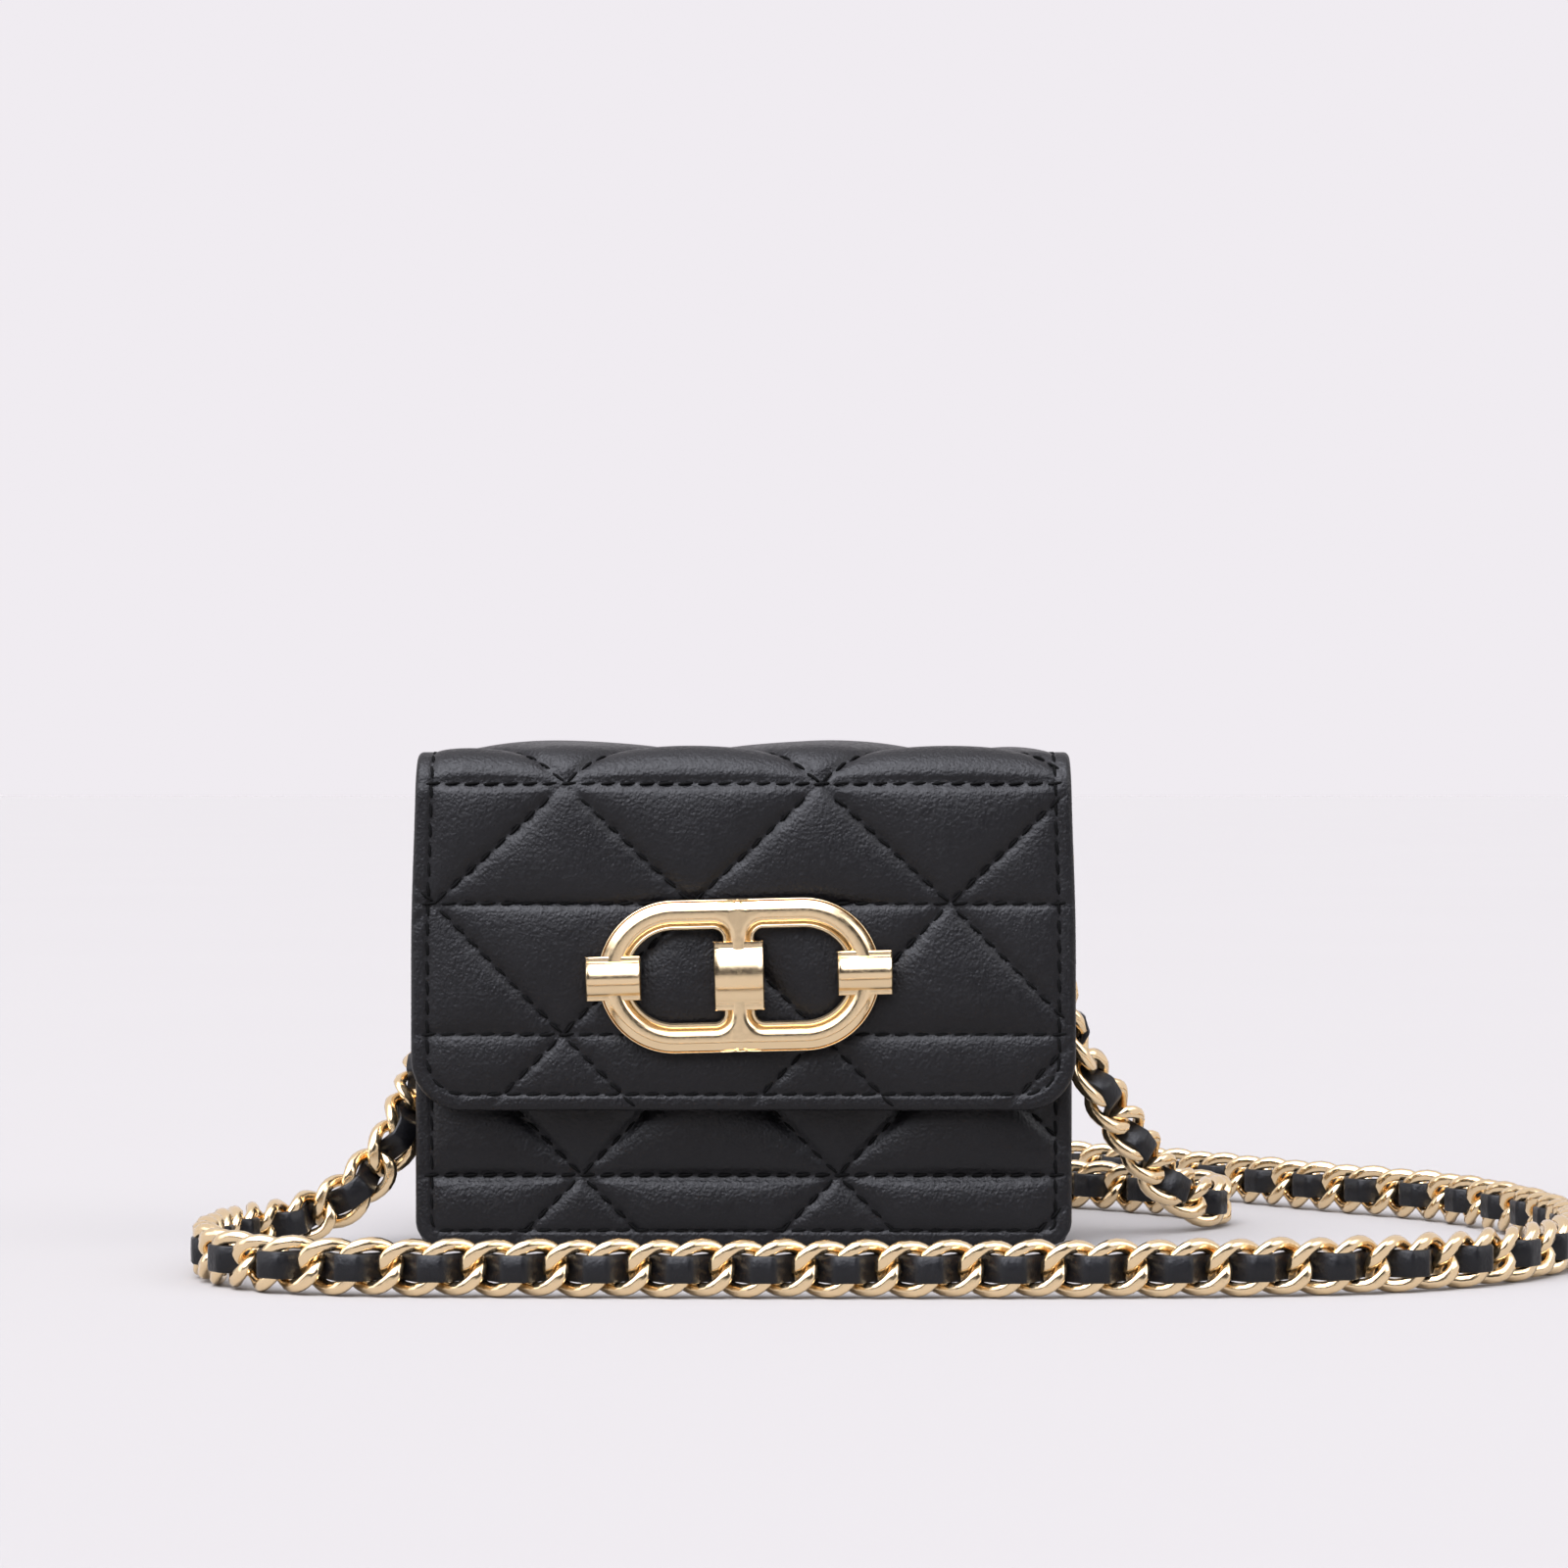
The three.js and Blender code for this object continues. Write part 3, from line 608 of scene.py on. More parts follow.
class Panel:
    """A leather panel, flat in x (across) and v (along), bent in space by its surface."""

    def __init__(self, v0, v1, half_width, corners, open_ends, surface, seams=(), puff=PUFF,
                 thickness=THICKNESS, step=0.66):
        self.v0, self.v1, self.half = v0, v1, half_width
        self.corners = corners      # radii at v0 and v1
        self.open_ends = open_ends  # whether v0 and v1 carry on into another panel
        self.surface = surface      # x, v -> points and outward normals
        self.most_puff, self.thickness, self.step = puff, thickness, step
        self.seams = [(a, b) for a, b in seams if max(a[1], b[1]) > v0 and min(a[1], b[1]) < v1]
        if puff > 0:
            self.solve()

    def edge_distance(self, x, v):
        """How far a point lies inside the panel's outline."""
        far = 1e3
        to_v0 = far if self.open_ends[0] else v - self.v0
        to_v1 = far if self.open_ends[1] else self.v1 - v
        side = self.half - np.abs(x)
        inside = np.minimum(side, np.minimum(to_v0, to_v1))
        for radius, along, is_open in zip(self.corners, (to_v0, to_v1), self.open_ends):
            if radius > 0 and not is_open:
                rounded = radius - np.hypot(radius - side, radius - along)
                inside = np.where((side < radius) & (along < radius), rounded, inside)
        return inside

    def row_half_width(self, v):
        """Half the panel's width at v, which its rounded corners make less."""
        half = self.half
        for radius, along, is_open in zip(self.corners, (v - self.v0, self.v1 - v), self.open_ends):
            if not is_open and along < radius:
                half = self.half - radius + math.sqrt(max(radius ** 2 - (radius - along) ** 2, 0))
        return half

    def seam_distance(self, x, v):
        """Distance to the nearest seam, and how far along that seam."""
        best = np.full(np.broadcast(x, v).shape, 1e3)
        along = np.zeros_like(best)
        for (xa, va), (xb, vb) in self.seams:
            length = math.hypot(xb - xa, vb - va)
            ux, uv = (xb - xa) / length, (vb - va) / length
            t = np.clip((x - xa) * ux + (v - va) * uv, 0, length)
            d = np.hypot(x - xa - t * ux, v - va - t * uv)
            along = np.where(d < best, t, along)
            best = np.minimum(best, d)
        return best, along

    def solve(self):
        """The puff of each patch is that of a skin held at the seams and pushed out by its padding."""
        self.gx = np.linspace(-self.half, self.half, int(2 * self.half / GRID) + 1)
        self.gv = np.linspace(self.v0, self.v1, int((self.v1 - self.v0) / GRID) + 1)
        x, v = np.meshgrid(self.gx, self.gv)
        seam = self.seam_distance(x, v)[0]
        free = (seam > SEAM_HALF) & (self.edge_distance(x, v) > EDGE_INSET + 0.1)
        h = np.zeros_like(x)
        parity = np.add.outer(np.arange(x.shape[0]), np.arange(x.shape[1])) % 2
        colours = [free & (parity == p) for p in (0, 1)]
        for _ in range(ROUNDS):
            for colour in colours:
                padded = np.pad(h, 1, mode="edge")
                mean = (padded[:-2, 1:-1] + padded[2:, 1:-1] + padded[1:-1, :-2] + padded[1:-1, 2:]) / 4
                h = np.where(colour, h + OVERSHOOT * (mean + 0.25 * GRID * GRID - h), h)
        h = np.maximum(h, 0)
        top = np.quantile(h, 0.995)
        self.puff = self.most_puff * np.minimum(h / top, 1.25) ** 0.5

    def sample(self, x, v):
        """The solved puff between the grid's points."""
        if self.most_puff <= 0:
            return np.zeros(np.broadcast(x, v).shape)
        fx = np.clip((x - self.gx[0]) / (self.gx[1] - self.gx[0]), 0, len(self.gx) - 1.001)
        fv = np.clip((v - self.gv[0]) / (self.gv[1] - self.gv[0]), 0, len(self.gv) - 1.001)
        i, j = fv.astype(int), fx.astype(int)
        a, b = fv - i, fx - j
        g = self.puff
        near, far = (g[row, j] * (1 - b) + g[row, j + 1] * b for row in (i, i + 1))
        return near * (1 - a) + far * a

    def front_height(self, x, v):
        """The outer face's height over the seams' level; a flat strip runs outside the topstitching."""
        edge = self.edge_distance(x, v)
        seam, along = self.seam_distance(x, v)
        pucker = PUCKER * np.exp(-seam / 1.2) * np.cos(2 * math.pi * along / STITCH)
        groove = -GROOVE * np.exp(-(seam / 0.5) ** 2)
        slack = SLACK * np.sin(x * 0.21 + 1.7 * np.sin(v * 0.09)) * np.sin(v * 0.17 + 0.6)
        inner = self.sample(x, v) + pucker + groove + slack * smoothstep((edge - 4) / 8)
        strip = EDGE_RISE - 0.35 * np.exp(-seam / 0.6)
        height = inner + (strip - inner) * (1 - smoothstep((edge - EDGE_INSET + 0.45) / 0.45))
        return self.turned(height, edge)

    def turned(self, height, edge):
        """The turned edge: the surface rounds off to the middle of the thickness."""
        middle = (EDGE_RISE - self.thickness) / 2
        round_off = np.sqrt(np.clip(1 - (1 - np.clip(edge, 0, 1.0)) ** 2, 0, 1))
        return middle + (height - middle) * round_off

    def back_height(self, x, v):
        """The lining's height."""
        edge = self.edge_distance(x, v)
        soft = 0.12 * np.sin(x * 0.16 + 0.8) * np.sin(v * 0.13)
        return self.turned(-self.thickness + soft * smoothstep((edge - 3) / 6), edge)

    def place(self, x, v, height):
        """Points in space at a height over the seams' level."""
        point, normal = self.surface(x, v)
        return point + normal * np.asarray(height)[..., None]

    def stations(self):
        """The mesh's grid of x and v, closest together near the turned edges."""
        rows = self.v0 + spaced(self.v1 - self.v0, self.step, not self.open_ends[0], not self.open_ends[1])
        inward = np.array(NEAR_EDGE)
        count = int((self.half - inward[-1]) / self.step)
        x, v = [], []
        for row in rows:
            half = self.row_half_width(row)
            middle = np.linspace(-(half - inward[-1]), half - inward[-1], 2 * count + 1)[1:-1]
            line = np.concatenate([-(half - inward), middle, (half - inward)[::-1]])
            x.append(line)
            v.append(np.full_like(line, row))
        return np.array(x), np.array(v)

    def build(self, name, outside, inside):
        """One closed mesh: the outer face, the inner face and a cap at each open end."""
        x, v = self.stations()
        rows, columns = x.shape
        front = self.place(x, v, self.front_height(x, v)).reshape(-1, 3)
        back = self.place(x, v, self.back_height(x, v)).reshape(-1, 3)
        faces = grid_faces(rows, columns)
        count = len(front)
        back_faces = [tuple(k + count for k in reversed(f)) for f in faces]
        caps = []
        for is_open, start in zip(self.open_ends, (0, (rows - 1) * columns)):
            if is_open:
                caps += [(a, a + 1, a + 1 + count, a + count) for a in range(start, start + columns - 1)]
        obj = new_mesh(name, np.vstack([front, back]) * MM, faces + back_faces + caps, outside)
        obj.data.materials.append(inside)
        deep = self.edge_distance(x[:-1, :-1].ravel(), v[:-1, :-1].ravel()) > TURN_IN
        index = np.concatenate([np.zeros(len(faces)), deep.astype(int), np.zeros(len(caps))]).astype(int)
        obj.data.polygons.foreach_set("material_index", index)
        face_outwards(obj, merge=2e-6)
        if any(self.open_ends):
            mark_sharp(obj, 75)
        return obj

    def outline(self, inset):
        """The line that follows the panel's edge at an inset; past an open end it runs on."""
        v0 = self.v0 + (-RUN_ON if self.open_ends[0] else inset)
        v1 = self.v1 + (RUN_ON if self.open_ends[1] else -inset)
        half = self.half - inset
        r0, r1 = (max(corner - inset, 0.5) for corner in self.corners)
        run = []
        arcs = ((1, v0 + r0, r0), (1, v1 - r1, r1), (-1, v1 - r1, r1), (-1, v0 + r0, r0))
        for k, (sign, v, r) in enumerate(arcs):
            turn = np.linspace(k - 1, k, 9) * math.pi / 2
            run += [(sign * (half - r) + r * math.cos(a), v + r * math.sin(a)) for a in turn]
        return run + run[:1]

    def stitching(self, name):
        """Each stitch is a short rounded thread that dips into the leather at both ends."""
        last_v = self.v1 + (0.5 if self.open_ends[1] else 0)
        points, faces = [], []
        for run in [*self.seams, self.outline(EDGE_INSET)]:
            run = np.array(run, float)
            seg = np.linalg.norm(np.diff(run, axis=0), axis=1)
            at = np.concatenate([[0], np.cumsum(seg)])
            for k in range(int(at[-1] / STITCH)):
                span = (k + 0.5) * STITCH + THREAD_ALONG * THREAD_REACH * STITCH
                x = np.interp(span, at, run[:, 0])
                v = np.interp(span, at, run[:, 1])
                way = unit(np.array([x[-1] - x[0], v[-1] - v[0]]))
                slant = THREAD_SLANT * THREAD_ALONG
                x, v = x - way[1] * slant, v + way[0] * slant
                inside = self.edge_distance(x, v).min() > 0.7
                if not inside or v.min() < self.v0 or v.max() > last_v:
                    continue
                base = self.front_height(x, v)
                line = self.place(x, v, np.maximum(base, 0.0) * 0.8 + THREAD_LIFT)
                out = unit(self.place(x, v, base + 1) - self.place(x, v, base))
                across = unit(np.cross(np.gradient(line, axis=0), out))
                tube = rings_round(line, across, out, THREAD_RADIUS[:, None, None], THREAD_SIDES)
                faces += tube_faces(len(line), THREAD_SIDES, len(points) * len(line) * THREAD_SIDES)
                points.append(tube.reshape(-1, 3))
        return face_outwards(new_mesh(name, np.vstack(points) * MM, faces, THREAD))


def lattice(levels, first_crossing):
    """Seams of a quilt: level lines, and slanting lines that cross on them.

    The crossings on one level lie half-way between those on the next.
    """
    half = HALF_WIDTH + 2
    seams = [((-half, v), (half, v)) for v in levels[1:-1]]
    for k, (low, high) in enumerate(zip(levels[:-1], levels[1:])):
        start = first_crossing + (k % 2) * SEAM_STEP
        for j in range(-5, 6):
            x = start + 2 * SEAM_STEP * j
            for lean in (-SEAM_STEP, SEAM_STEP):
                if max(x, x + lean) >= -half and min(x, x + lean) <= half:
                    seams.append(clip_to(x, low, x + lean, high, half))
    return seams


def clip_to(xa, va, xb, vb, half):
    """A slanting line, cut off at x = -half and x = half."""
    ts = [0.0, 1.0]
    for edge in (-half, half):
        t = (edge - xa) / (xb - xa)
        if abs(xb) > half and (xb > 0) == (edge > 0):
            ts[1] = min(ts[1], t)
        if abs(xa) > half and (xa > 0) == (edge > 0):
            ts[0] = max(ts[0], t)
    return tuple((xa + (xb - xa) * t, va + (vb - va) * t) for t in ts)


# the outer skin's seam level, in side view: up the flap's front, over the top, and down the back
FRONT_Y, BACK_Y, TOP_Z, FOLD = -16.3, 16.3, 86.1, 7.0
FOLD_Z = TOP_Z - FOLD
FOLD_ARC = FOLD * math.pi / 2
TOP_LENGTH = (BACK_Y - FOLD) - (FRONT_Y + FOLD)
V_TOP0 = FOLD_Z + FOLD_ARC
V_TOP1 = V_TOP0 + TOP_LENGTH
V_BACK = V_TOP1 + FOLD_ARC
# the flap is a little narrower at the top than at its free edge; it narrows between these heights
NARROWING, NARROWS = 0.014, (52, 86)


def over_the_top(x, v):
    """v is the height on the flap's front, and runs on over the top and down the back."""
    a = np.clip((v - FOLD_Z) / FOLD, 0, math.pi / 2)
    b = np.clip((v - V_TOP1) / FOLD, 0, math.pi / 2)
    y = FRONT_Y + FOLD * (1 - np.cos(a)) + np.clip(v - V_TOP0, 0, TOP_LENGTH) + FOLD * np.sin(b)
    z = np.minimum(v, FOLD_Z) + FOLD * np.sin(a) - FOLD * (1 - np.cos(b)) - np.clip(v - V_BACK, 0, None)
    turn = a + b
    narrowing = 1 - NARROWING * smoothstep((v - NARROWS[0]) / (NARROWS[1] - NARROWS[0]))
    return (np.stack([x * narrowing, y, z], axis=-1),
            np.stack([0 * v, -np.cos(turn), np.sin(turn)], axis=-1))


def flat_wall(y, facing):
    """An upright surface at y that faces along y."""
    def surface(x, v):
        zero = 0 * v
        return np.stack([x, zero + y, v], axis=-1), np.stack([zero, zero + facing, zero], axis=-1)
    return surface


FLAP_BOTTOM = 24.6
SPLIT_V = 102.4
FRONT_PANEL_Y = -9.75
PANEL_TOP = 81.0
LEVELS = (15.4, 37.8, 60.4, 81.1, SPLIT_V, 124.0, 146.2, 168.4, 190.6, 212.8)
flap_seams = lattice(LEVELS, -8.9)
panel_seams = lattice((-9.3, 13.0, 35.2, 57.4, 79.6, 101.8), -5.9)

flap = Panel(FLAP_BOTTOM, SPLIT_V, HALF_WIDTH, (9.0, 0), (False, True), over_the_top, flap_seams)
back = Panel(SPLIT_V, V_BACK + FOLD_Z - 0.5, HALF_WIDTH, (0, 5.0), (True, False), over_the_top, flap_seams)
front = Panel(0.5, PANEL_TOP, HALF_WIDTH - 0.3, (4.5, 2.0), CLOSED, flat_wall(FRONT_PANEL_Y, -1),
              panel_seams)

skins, threads = {}, {}
for name, panel in (("flap", flap), ("back", back), ("front", front)):
    skins[name] = panel.build(f"{name}_quilt", LEATHER, LINING)
    threads[name] = panel.stitching(f"{name}_stitching")

# the flap's and the back's pieces keep their places, baked in; the front panel's ride on the bag
for pieces in (skins, threads):
    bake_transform(pieces["flap"])
    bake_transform(pieces["back"])
    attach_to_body(pieces["front"], "bag")
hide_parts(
    "flap_front_leather", "flap_front_padding", "flap_front_lining", "flap_top_leather")
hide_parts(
    "back_panel", "back_padding", "back_lining", "flap_top_padding", "flap_top_lining")
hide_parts("front_panel", "front_padding", "front_lining")


# ---- the badge

BADGE_AT = (-0.7, -18.5, 48.1)
BADGE_TILT = 0.0235   # radians: it hangs a little askew
BADGE_HALF, BADGE_RADIUS, BADGE_BAND = 24.35, 13.25, 5.3
BAR_HALF = 2.75
BAND_LIFT = 1.95      # the bands' borders stand this far out
OPENING_CORNER = 1.6


def on_badge(x, z, depth):
    """Points on the badge, which lies askew on the flap; depth is how far they stand out from it."""
    c, s = math.cos(BADGE_TILT), math.sin(BADGE_TILT)
    return np.stack([BADGE_AT[0] + x * c - z * s, BADGE_AT[1] - depth, BADGE_AT[2] + x * s + z * c], axis=-1)


def opening_outline():
    """The right-hand opening: points round it, and the directions from them into the frame."""
    inner = BADGE_RADIUS - BADGE_BAND
    straight = BADGE_HALF - BADGE_RADIUS
    corner = OPENING_CORNER
    points, ways = [], []

    def arc(cx, cz, radius, angles):
        for a in angles:
            points.append((cx + radius * math.cos(a), cz + radius * math.sin(a)))
            ways.append((math.cos(a), math.sin(a)))

    def line(x0, z0, x1, z1, way, count):
        for t in np.linspace(0, 1, count + 2)[1:-1]:
            points.append((x0 + (x1 - x0) * t, z0 + (z1 - z0) * t))
            ways.append(way)

    left = BAR_HALF + corner
    # the corner's rays past this one end on the bar's middle line, closest together near the outer edge
    to_middle = math.atan2(BADGE_RADIUS - inner + corner, -left)
    before = np.linspace(math.pi / 2, to_middle, 8)
    past = to_middle + np.concatenate([np.linspace(0.003, 0.045, 15), np.linspace(0.057, 0.2, 11)])
    to_bar = np.concatenate([before, past, np.linspace(to_middle + 0.25, math.pi, 11)])
    arc(straight, 0, inner, np.linspace(-math.pi / 2, math.pi / 2, 49))
    line(straight, inner, left, inner, (0, 1), 12)
    arc(left, inner - corner, corner, to_bar)
    line(BAR_HALF, inner - corner, BAR_HALF, corner - inner, (-1, 0), 12)
    arc(left, corner - inner, corner, 2 * math.pi - to_bar[::-1])
    line(left, -inner, straight, -inner, (0, -1), 12)
    return np.array(points), np.array(ways)


def badge_height(from_opening, from_edge):
    """The frame's relief: a low inner lip, a hollow, a broad round bead and a thin outer rim."""
    lip = 0.5 * smoothstep(from_opening / 0.25) * (1 - smoothstep((from_opening - 0.62) / 0.4))
    round_bead = np.clip((from_opening - 1.15) / 1.3, 0, 1)
    swell = np.sqrt(np.maximum(1 - (1 - round_bead) ** 2, 0))
    bead = 1.25 * swell * (0.5 + 0.5 * smoothstep((from_edge - 0.5) / 1.5))
    rim = 0.55 * smoothstep(from_edge / 0.18) * (1 - smoothstep((from_edge - 0.32) / 0.2))
    clear = smoothstep((from_edge - 0.42) / 0.15)
    return 1.1 + lip + bead * clear + rim * (1 - clear)


def badge_rays(outline, ways):
    """Distances from the opening at which the frame is sampled, out to its edge or the bar's middle."""
    on_straight = outline[:, 0] <= BADGE_HALF - BADGE_RADIUS
    to_straight_edge = (BADGE_RADIUS - np.abs(outline[:, 1])) / np.maximum(np.abs(ways[:, 1]), 1e-9)
    to_edge = np.where(on_straight, to_straight_edge, BADGE_BAND)
    to_bar_middle = np.where(ways[:, 0] < -1e-9, outline[:, 0] / np.maximum(-ways[:, 0], 1e-9), 1e9)
    near = np.array([0, 0.06, 0.14, 0.24, 0.36, 0.5, 0.62, 0.74, 0.86, 1.0, 1.2, 1.45, 1.7, 1.95, 2.2])
    far = np.array([0.55, 0.46, 0.38, 0.3, 0.22, 0.14, 0.06, 0])
    rays = []
    for reach in np.minimum(to_edge, to_bar_middle):
        stop = min(near[-1], reach - far[0] - 0.01)
        middle = np.linspace(stop, reach - far[0], 9)[1:-1]
        rays.append(np.concatenate([near * stop / near[-1], middle, reach - far]))
    return np.array(rays)


def badge_frame():
    """The ring with its centre bar, cast in one piece: a right half and its mirror image."""
    outline, ways = opening_outline()
    t = badge_rays(outline, ways)
    x = np.maximum(outline[:, :1] + ways[:, :1] * t, 0)
    z = outline[:, 1:] + ways[:, 1:] * t
    edge = np.maximum(BADGE_RADIUS - np.hypot(np.maximum(x - BADGE_HALF + BADGE_RADIUS, 0), z), 0)
    height = badge_height(t, edge)
    rows, columns = t.shape
    per_level = rows * columns
    points, faces = [], []
    for sign in (1, -1):
        start = len(points) * per_level
        for level in (height, np.zeros_like(height)):
            shift = len(points) * per_level
            points.append(on_badge(sign * x, z, level).reshape(-1, 3))
            faces += [tuple(shift + k for k in f) for f in grid_faces(rows, columns, True, False)]
        faces += badge_walls(x[:, -1] < 1e-6, start, columns, per_level)
    obj = new_mesh("badge_frame_cast", np.vstack(points) * MM, faces, GOLD)
    mark_sharp(face_outwards(obj, merge=4e-6), 50)
    return obj


def badge_walls(at_centre, start, columns, per_level):
    """Walls from front to back, round the opening and the outer edge but not on the middle line."""
    walls = []
    for i, i2 in enumerate(np.roll(range(len(at_centre)), -1)):
        a, b = start + i * columns, start + int(i2) * columns
        walls.append((a, b, b + per_level, a + per_level))
        if not (at_centre[i] and at_centre[i2]):
            a, b = a + columns - 1, b + columns - 1
            walls.append((a, b, b + per_level, a + per_level))
    return walls


def badge_band(name, centre_x, width, height):
    """A crowned band across the frame, with a thin bead along its ends."""
    half_w, half_h = width / 2, height / 2
    u = [-1, -0.985, -0.95, -0.9, -0.84, *np.linspace(-0.75, 0.75, 9), 0.84, 0.9, 0.95, 0.985, 1]
    w = [-1, -0.98, -0.93, -0.88, -0.83, *np.linspace(-0.78, 0.78, 27), 0.83, 0.88, 0.93, 0.98, 1]
    uu, ww = np.meshgrid(u, w)
    x, z = centre_x + half_w * uu, half_h * ww
    # a slice of a cylinder that lies on its side, with a flange along its upper and lower edges
    across = np.clip(ww / 0.78, -1, 1)
    crown = 1.75 * (np.sqrt(np.maximum(1 - (0.93 * across) ** 2, 0)) - math.sqrt(1 - 0.93 ** 2)) / 0.632
    side = half_w * (1 - np.abs(uu))
    border = np.minimum(side, half_h * (1 - np.abs(ww)))
    soft = 0.22 * np.sqrt(np.maximum(1 - (1 - np.clip(border / 0.22, 0, 1)) ** 2, 0))
    bead = 0.16 * smoothstep((side - 0.12) / 0.1) * (1 - smoothstep((side - 0.34) / 0.2))
    depth = BAND_LIFT + crown + soft + bead
    top = on_badge(x, z, depth).reshape(-1, 3)
    bottom = on_badge(x, z, np.full_like(depth, 0.3)).reshape(-1, 3)
    rows, columns = uu.shape
    count = len(top)
    faces = grid_faces(rows, columns)
    faces += [tuple(k + count for k in reversed(f)) for f in faces]
    rim = [*range(columns), *range(2 * columns - 1, count, columns)]
    rim += [*range(count - 2, count - columns - 1, -1), *range(count - 2 * columns, 0, -columns)]
    for a, b in zip(rim, rim[1:] + rim[:1]):
        faces.append((a, b, b + count, a + count))
    obj = face_outwards(new_mesh(name, np.vstack([top, bottom]) * MM, faces, GOLD))
    mark_sharp(obj, 50)
    return obj


END_BAND_X = BADGE_HALF - BADGE_BAND / 2 - 0.1
END_BAND_SIZE, CENTRE_BAND_SIZE = (9.5, 7.6), (8.6, 11.9)
attach(badge_frame(), "flap_front", "pale_gold", "badge_frame")
for place, centre_x, size in (("left", -END_BAND_X, END_BAND_SIZE), ("right", END_BAND_X, END_BAND_SIZE),
                              ("centre", 0.0, CENTRE_BAND_SIZE)):
    band = badge_band(f"badge_band_{place}_cast", centre_x, *size)
    attach(band, "flap_front", "pale_gold", f"badge_band_{place}")


# ---- sides, base, pocket

GUSSET_EDGE_X, GUSSET_FOLD_DEPTH = 56.2, 6.0
GUSSET_Y = (-8.4, 15.0)
FOLD_Y = sum(GUSSET_Y) / 2
GUSSET_HALF = 14.0
CREASE = 0.42         # the fold's width, as a part of the half width


def gusset_surface(sign):
    """A side that folds inwards at its middle, most at the bag's mouth."""
    half_span = (GUSSET_Y[1] - GUSSET_Y[0]) / 2

    def surface(x, v):
        across = np.clip(x / GUSSET_HALF, -1, 1)
        depth = GUSSET_FOLD_DEPTH * (0.62 + 0.38 * smoothstep(v / 55))
        crease = np.exp(-(across / CREASE) ** 2)
        fold = crease * 0.55 + 0.45 * (1 - across ** 2)
        slope = (-0.55 * 2 * across / CREASE ** 2 * crease - 0.9 * across) / half_span
        px = sign * (GUSSET_EDGE_X - depth * fold)
        normal = unit(np.stack([np.full_like(px, sign), depth * slope, 0 * px], axis=-1))
        return np.stack([px, FOLD_Y + across * half_span, v], axis=-1), normal
    return surface


def base_surface(x, v):
    """The underside; v runs from the front to the back."""
    return np.stack([x, v, 0 * v + 0.5], axis=-1), np.stack([0 * v, 0 * v, 0 * v - 1], axis=-1)


for side, sign in SIDES:
    gusset = Panel(0.9, 80.0, GUSSET_HALF - 0.3, (2, 2), CLOSED, gusset_surface(sign), puff=0,
                   thickness=1.5, step=0.8)
    skin = gusset.build(f"gusset_skin_{side}", LEATHER, LINING)
    attach(skin, "bag", "leather", f"gusset_{side}", f"gusset_lining_{side}")
    attach(gusset.stitching(f"gusset_stitching_{side}"), "bag", "leather")

base = Panel(-8.6, 15.2, 54.4, (2, 2), CLOSED, base_surface, puff=0, thickness=3.1, step=1.2)
attach(base.build("base_skin", LEATHER, LINING), "bag", "leather", "base_panel", "base_board", "base_lining")

POCKET_Y = 13.75
pocket = Panel(22.0, 60.0, 36.0, (3, 1), CLOSED, flat_wall(POCKET_Y, -1), puff=0, thickness=0.5, step=1.0)
attach(pocket.build("slip_pocket_cloth", LINING, LINING), "bag", "lining", "slip_pocket")
attach(pocket.stitching("slip_pocket_stitching"), "bag", "lining")


# ---- rings, loops and the snap

RING_X, RING_Z, RING_HALF, RING_DROP, RING_WIRE = 54.35, 76.0, 6.0, 9.0, 1.6
RING_Y = 3.25
LOOP_TOP = 80.4


def d_ring(side, sign):
    """A wire D with its straight bar at the top."""
    half, corner, bow = RING_HALF, 1.6, RING_HALF - 0.01
    outline = rounded_loop([(-half, 0), (half, 0), (half, -RING_DROP), (-half, -RING_DROP)],
                           [corner, corner, bow, bow], 16)
    points = [(sign * RING_X, RING_Y + y, RING_Z + z) for y, z in outline]
    return wire_loop(f"d_ring_wire_{side}", points, RING_WIRE)


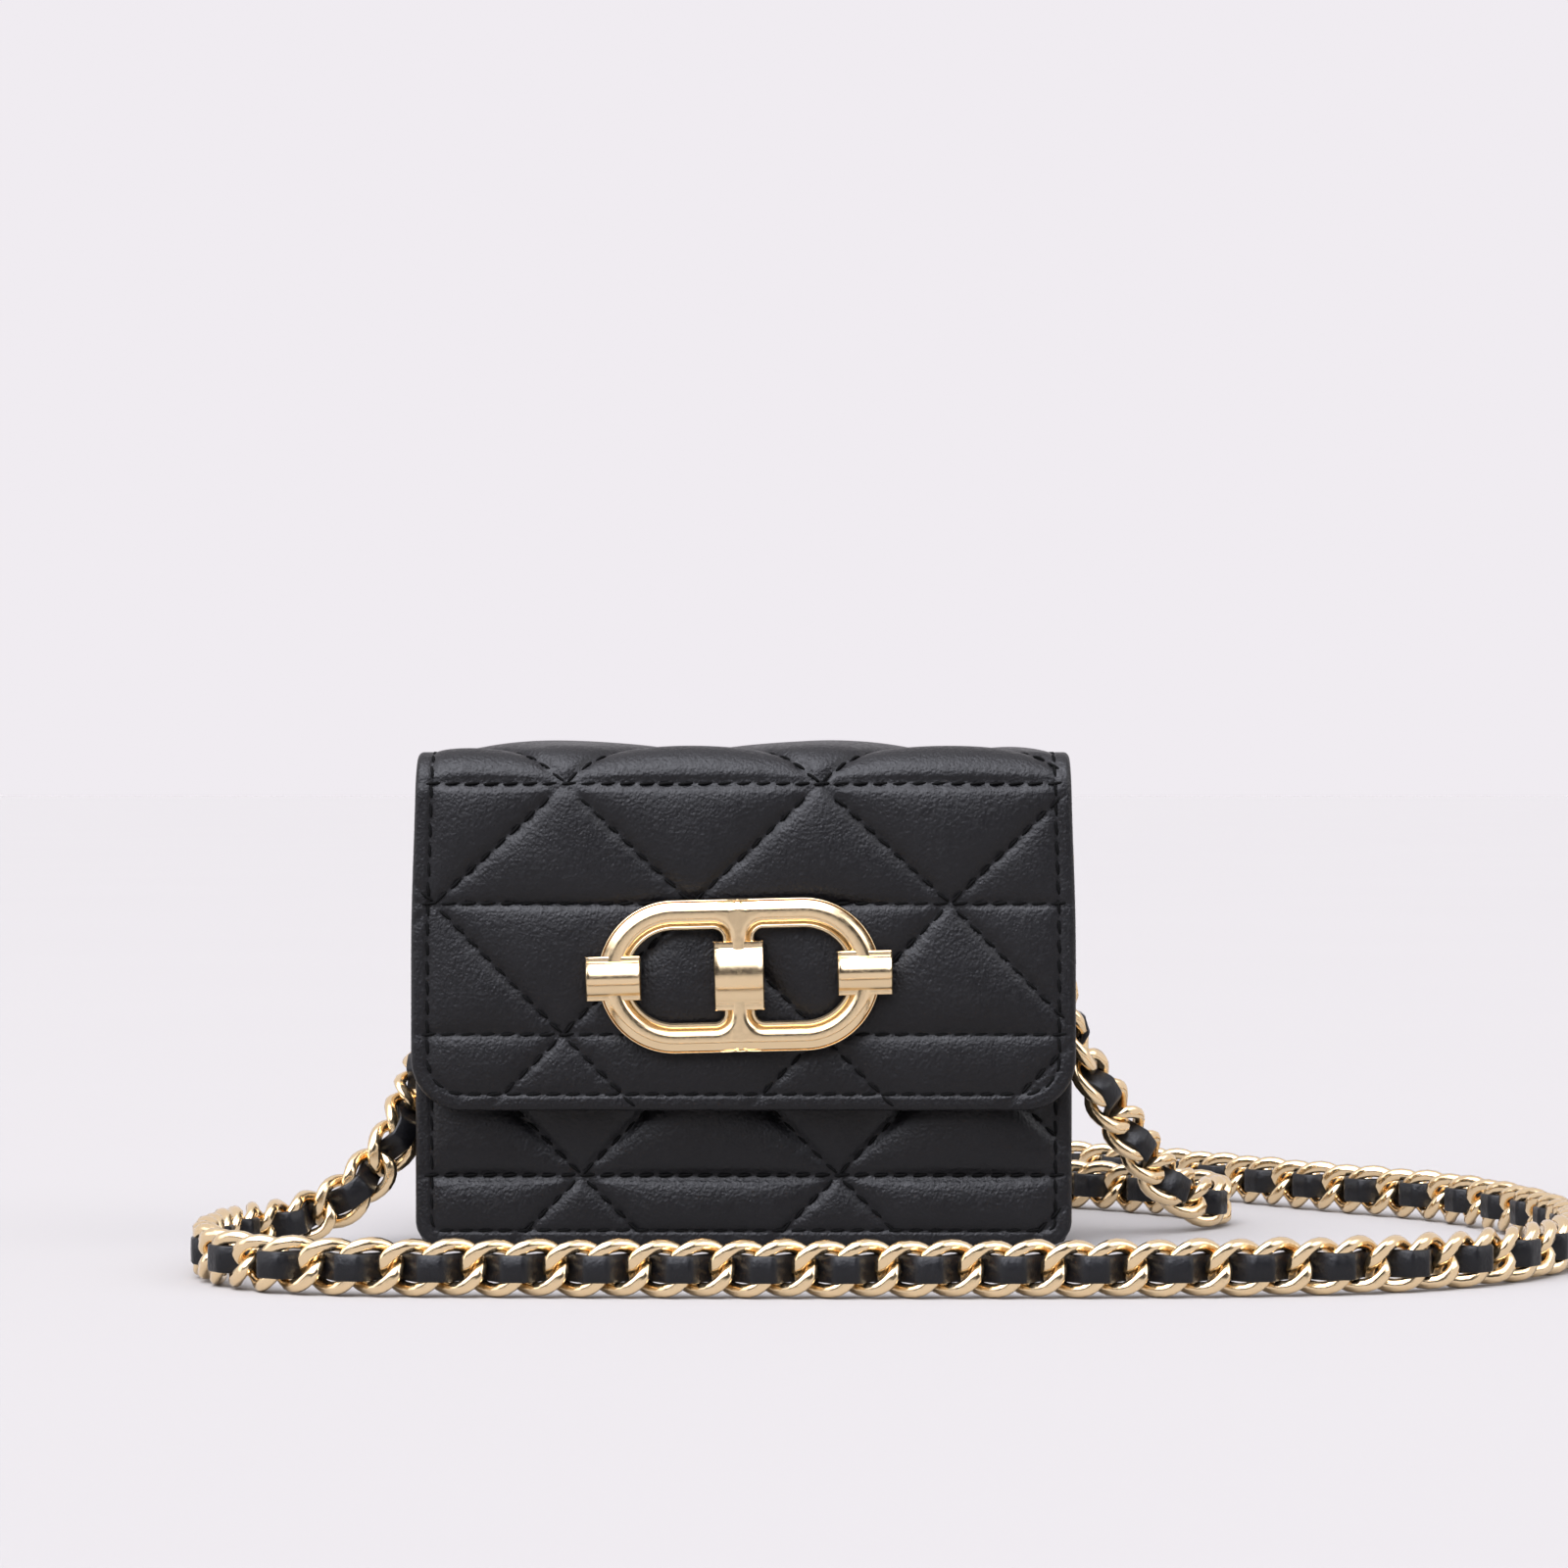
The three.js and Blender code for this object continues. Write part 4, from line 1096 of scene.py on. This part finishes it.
def ring_loop(side, sign):
    """A leather strip sewn to the side, turned round the ring's bar and back up."""
    width, thickness, wrap = 9.0, 0.85, 1.9

    def bend(way, start, end, count):
        return [(RING_X + way * wrap * math.cos(a), RING_Z + way * wrap * math.sin(a))
                for a in np.linspace(start, end, count)]

    path = np.array([
        (RING_X - wrap - 0.1, LOOP_TOP), (RING_X - wrap - 0.1, LOOP_TOP - 2),
        *bend(-1, -0.3, math.pi, 16), *bend(1, 0.2, 1.2, 5),
        (RING_X - 0.35, LOOP_TOP - 1.8), (RING_X - 0.85, LOOP_TOP - 0.8), (RING_X - 0.9, LOOP_TOP),
    ])
    tangent = unit(np.gradient(path, axis=0))
    normal = np.stack([-tangent[:, 1], tangent[:, 0]], axis=1)
    half_w, half_t, soft = width / 2, thickness / 2, 0.3
    section = [(-half_w, -half_t + soft), (-half_w + soft, -half_t), (half_w - soft, -half_t),
               (half_w, -half_t + soft), (half_w, half_t - soft), (half_w - soft, half_t),
               (-half_w + soft, half_t), (-half_w, half_t - soft)]
    points = [(sign * (p[0] + n[0] * t), RING_Y + w, p[1] + n[1] * t)
              for p, n in zip(path, normal) for w, t in section]
    faces = tube_faces(len(path), len(section))
    return face_outwards(new_mesh(f"ring_loop_{side}", np.array(points) * MM, faces, EDGE_LEATHER))


def turned_disc(name, centre, facing, profile):
    """A turned gold piece on a front-to-back axis; the profile is (radius, distance from its base)."""
    sides = 48
    points = []
    for radius, out in profile:
        for a in np.linspace(0, 2 * math.pi, sides, endpoint=False):
            points.append((centre[0] + radius * math.cos(a), centre[1] + facing * out,
                           centre[2] + radius * math.sin(a)))
    obj = face_outwards(new_mesh(name, np.array(points) * MM, tube_faces(len(profile), sides), GOLD))
    mark_sharp(obj, 40)
    return obj


for side, sign in SIDES:
    attach(d_ring(side, sign), f"ring_{side}", "pale_gold", f"d_ring_{side}")
    attach(ring_loop(side, sign), "bag", "leather", f"ring_tab_{side}")

SNAP_X, SNAP_Z = BADGE_AT[0], BADGE_AT[2] - 4.0
SOCKET_Y, STUD_Y = -11.65, -14.15
SOCKET_PROFILE = [(0.01, 0.25), (2.5, 0.25), (2.65, 0.4), (2.7, 1.35), (3.0, 1.5), (4.6, 1.42), (6.4, 1.2),
                  (6.9, 0.8), (7.0, 0.3), (7.0, 0.0), (0.01, 0.0)]
STUD_PROFILE = [(0.01, 1.6), (1.7, 1.6), (2.1, 1.45), (2.2, 1.2), (2.2, 0.75), (2.5, 0.68), (5.6, 0.62),
                (6.6, 0.5), (7.0, 0.2), (7.0, 0.0), (0.01, 0.0)]
snap_socket = turned_disc("snap_socket_turned", (SNAP_X, SOCKET_Y, SNAP_Z), -1, SOCKET_PROFILE)
snap_stud = turned_disc("snap_stud_turned", (SNAP_X, STUD_Y, SNAP_Z), 1, STUD_PROFILE)
attach(snap_socket, "bag", "pale_gold", "snap_socket")
attach(snap_stud, "flap_front", "pale_gold", "snap_stud")

plate_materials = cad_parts["badge_fixing_plate"].data.materials
plate_materials.clear()
plate_materials.append(STEEL)
